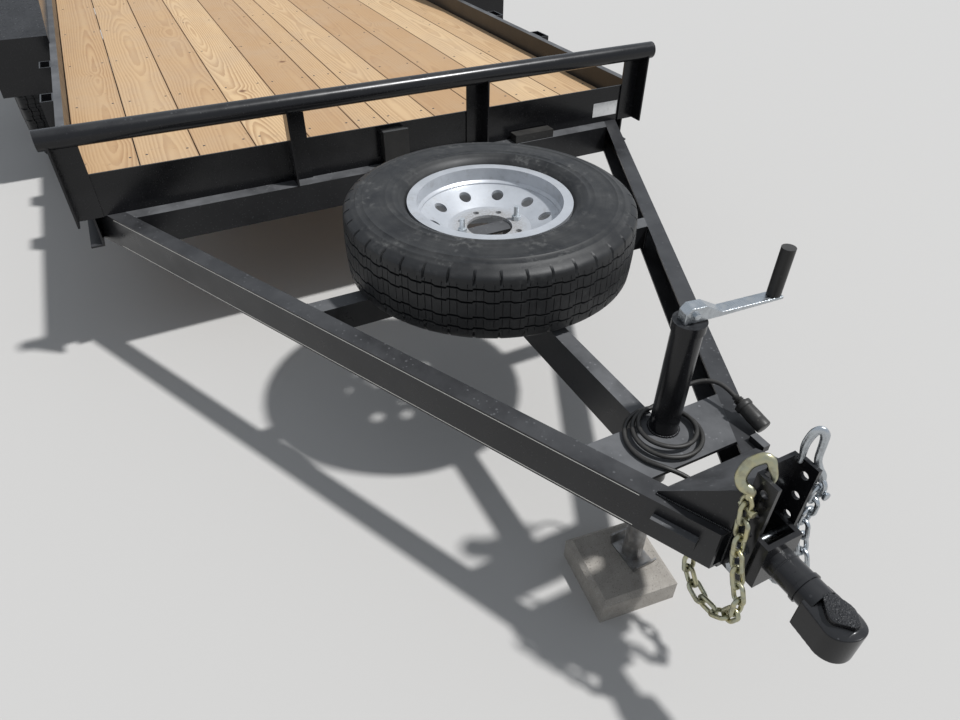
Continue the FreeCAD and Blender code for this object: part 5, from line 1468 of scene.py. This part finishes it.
strips = []
for sign in (1, -1):
    away = Vector((math.sin(TONGUE_TURN), sign * math.cos(TONGUE_TURN), 0))
    for up in (RAIL_TOP - TAPE_IN, RAIL_LOW + TAPE_IN + TAPE_HIGH):
        low = up - TAPE_HIGH
        corners = [(forward, sign * rail_face(forward), high) for forward, high in
                   ((TAPE_BACK, up), (TAPE_END, up), (TAPE_END, low), (TAPE_BACK, low))]
        strips.append(slab("strip", corners, TAPE_THICK, away))
stripes = joined("tape_stripes", strips)
wear(stripes, tape("pale tape", (0.74, 0.72, 0.67, 1), 0.35))
label = slab("blank_label", [(0, LABEL_FROM, LABEL_TOP), (0, LABEL_TO, LABEL_TOP),
                             (0, LABEL_TO, LABEL_FOOT), (0, LABEL_FROM, LABEL_FOOT)],
             LABEL_THICK, forward_way)
wear(label, tape("white label film", (0.72, 0.72, 0.71, 1), 0.3))
for piece in (stripes, label):
    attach(piece, "root")
print("stripes:", len(strips))

# %% [markdown]
# ## Rings on the coupler's sleeve and in the rims
# A collar closes the sleeve before the head, and a rolled seam runs behind it. Inside each rim a
# rounded step goes round the barrel. Each is an outline turned about its axis. The step's outline
# is closed, so it makes a hollow ring with no end faces.

# %% Turn the rings
# The sleeve's axis below the deck, where its two rings begin, and outlines of (along, radius).
SLEEVE_DROP, COLLAR_AT, SEAM_AT = -92, 1908, 1868
COLLAR = ((0, 29.8), (0.8, 32.6), (9, 33), (10, 29.8))
SEAM = ((0, 29.8), (1, 31), (3, 31), (4, 29.8))
STEP = ((24, 196), (27, 190), (36, 187.5), (46, 187.5), (50, 191), (53, 196), (56, 198), (20, 198))
collar = joined("sleeve_rings", [
    lathe("collar", at(COLLAR_AT, 0, SLEEVE_DROP), forward_way, COLLAR),
    lathe("seam", at(SEAM_AT, 0, SLEEVE_DROP), forward_way, SEAM)])
wear(collar, CLEAN_PAINT)
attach(collar, "root")


def hollow_ring(name, middle, way, outline, sides=72):
    """A closed ring: an outline of (along, radius) turned about a line, with its last point joined
    to its first."""
    points = [middle + (way * along + off * radius) * MM
              for off in spokes(way, sides) for along, radius in outline]
    made = mesh_object(name, points, skin(sides, len(outline), closed=True))
    outward(made.data)
    smooth_to(made.data, 40)
    return made


for cad, (body, matrix) in tyres.items():
    rim = cad.replace("tyre", "rim")
    facing = upward if body == "root" else Vector((0, -1 if "right" in cad else 1, 0))
    step = hollow_ring("step_in_" + rim, middle_of(cad), facing, STEP)
    wear(step, SPARE_SILVER if body == "root" else SILVER)
    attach(step, body)
print("rings in", len(tyres), "rims")

# %% [markdown]
# ## The jack's crank pin
# The crank swings on a bolt through its raised end. A hexagon head and a washer on each side show
# where it turns. Both are turned pieces, and the head is the one with only six sides.

# %% Crank bolt
# The crank's turn from straight ahead, its boss above its lowest point, and half the boss's width.
CRANK_TURN = math.radians(82)
BOSS_RISE, BOSS_HALF, WASHER_THICK = 18, 12.6, 1.6
WASHER, HEXAGON = ((0, 9), (WASHER_THICK, 9)), ((0, 6.9), (5, 6.9), (5.6, 6.2))
across = Vector((-math.sin(CRANK_TURN), math.cos(CRANK_TURN), 0))
boss = Vector((BED_FRONT + JACK_AT * MM, 0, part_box("jack_crank")[0].z + BOSS_RISE * MM))
bolts = []
for sign in (1, -1):
    out = across * sign
    start = boss + out * BOSS_HALF * MM
    bolts.append(lathe("washer", start, out, WASHER, sides=24))
    bolts.append(lathe("head", start + out * WASHER_THICK * MM, out, HEXAGON, sides=6))
crank_bolt = joined("crank_bolt", bolts)
wear(crank_bolt, ZINC)
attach(crank_bolt, "root")
print("crank bolt at", [round(value, 3) for value in boss])

# %% [markdown]
# ## Floor and light
# A plain pale floor takes the shadow. The light is one large soft sun from behind and above, and an
# even sky, because several lamps would give several shadows. Camera and mirror rays see a pale
# backdrop instead of the sky, so that black paint has something light to show.

# %% Floor
# Half the floor's side in metres, and its two plain values.
FLOOR_HALF, FLOOR_TONE, FLOOR_ROUGH = 40, (0.50, 0.49, 0.475, 1), 0.9
floor_paint, _, shader, _ = new_material("pale floor")
shader.inputs["Base Color"].default_value = FLOOR_TONE
shader.inputs["Roughness"].default_value = FLOOR_ROUGH
corners = [(x * FLOOR_HALF, y * FLOOR_HALF, 0) for x, y in ((-1, -1), (1, -1), (1, 1), (-1, 1))]
floor = mesh_object("floor", corners, [(0, 1, 2, 3)])
wear(floor, floor_paint)

# %% Light
# The way to the sun, its strength, and its size in degrees: a larger sun gives a softer shadow.
SUN_FROM = Vector((0.30, 0.41, 1.0))
SUN_STRENGTH, SUN_SIZE = 3.5, 3
SKY, SKY_STRENGTH = (0.86, 0.92, 1.0, 1), 0.42
BACKDROP, BACKDROP_STRENGTH = (0.80, 0.86, 0.94, 1), 0.7
sun = linked("sun", bpy.data.lights.new("sun", "SUN"))
sun.data.energy = SUN_STRENGTH
sun.data.angle = math.radians(SUN_SIZE)
sun.rotation_mode = "QUATERNION"
sun.rotation_quaternion = SUN_FROM.normalized().to_track_quat("Z", "Y")

world = bpy.data.worlds.new("studio")
scene.world = world
world.use_nodes = True
tree = world.node_tree
tree.nodes.clear()
path = node(tree, "ShaderNodeLightPath").outputs
seen = sums(tree, "MAXIMUM", path["Is Camera Ray"], path["Is Glossy Ray"])
seen = sums(tree, "MAXIMUM", seen, path["Is Transmission Ray"])
sky = node(tree, "ShaderNodeBackground", {"Color": SKY, "Strength": SKY_STRENGTH})
backdrop = node(tree, "ShaderNodeBackground", {"Color": BACKDROP, "Strength": BACKDROP_STRENGTH})
either = node(tree, "ShaderNodeMixShader", {0: seen, 1: sky.outputs[0], 2: backdrop.outputs[0]})
node(tree, "ShaderNodeOutputWorld", {"Surface": either.outputs[0]})
print("sun", SUN_STRENGTH, "sky", SKY_STRENGTH)
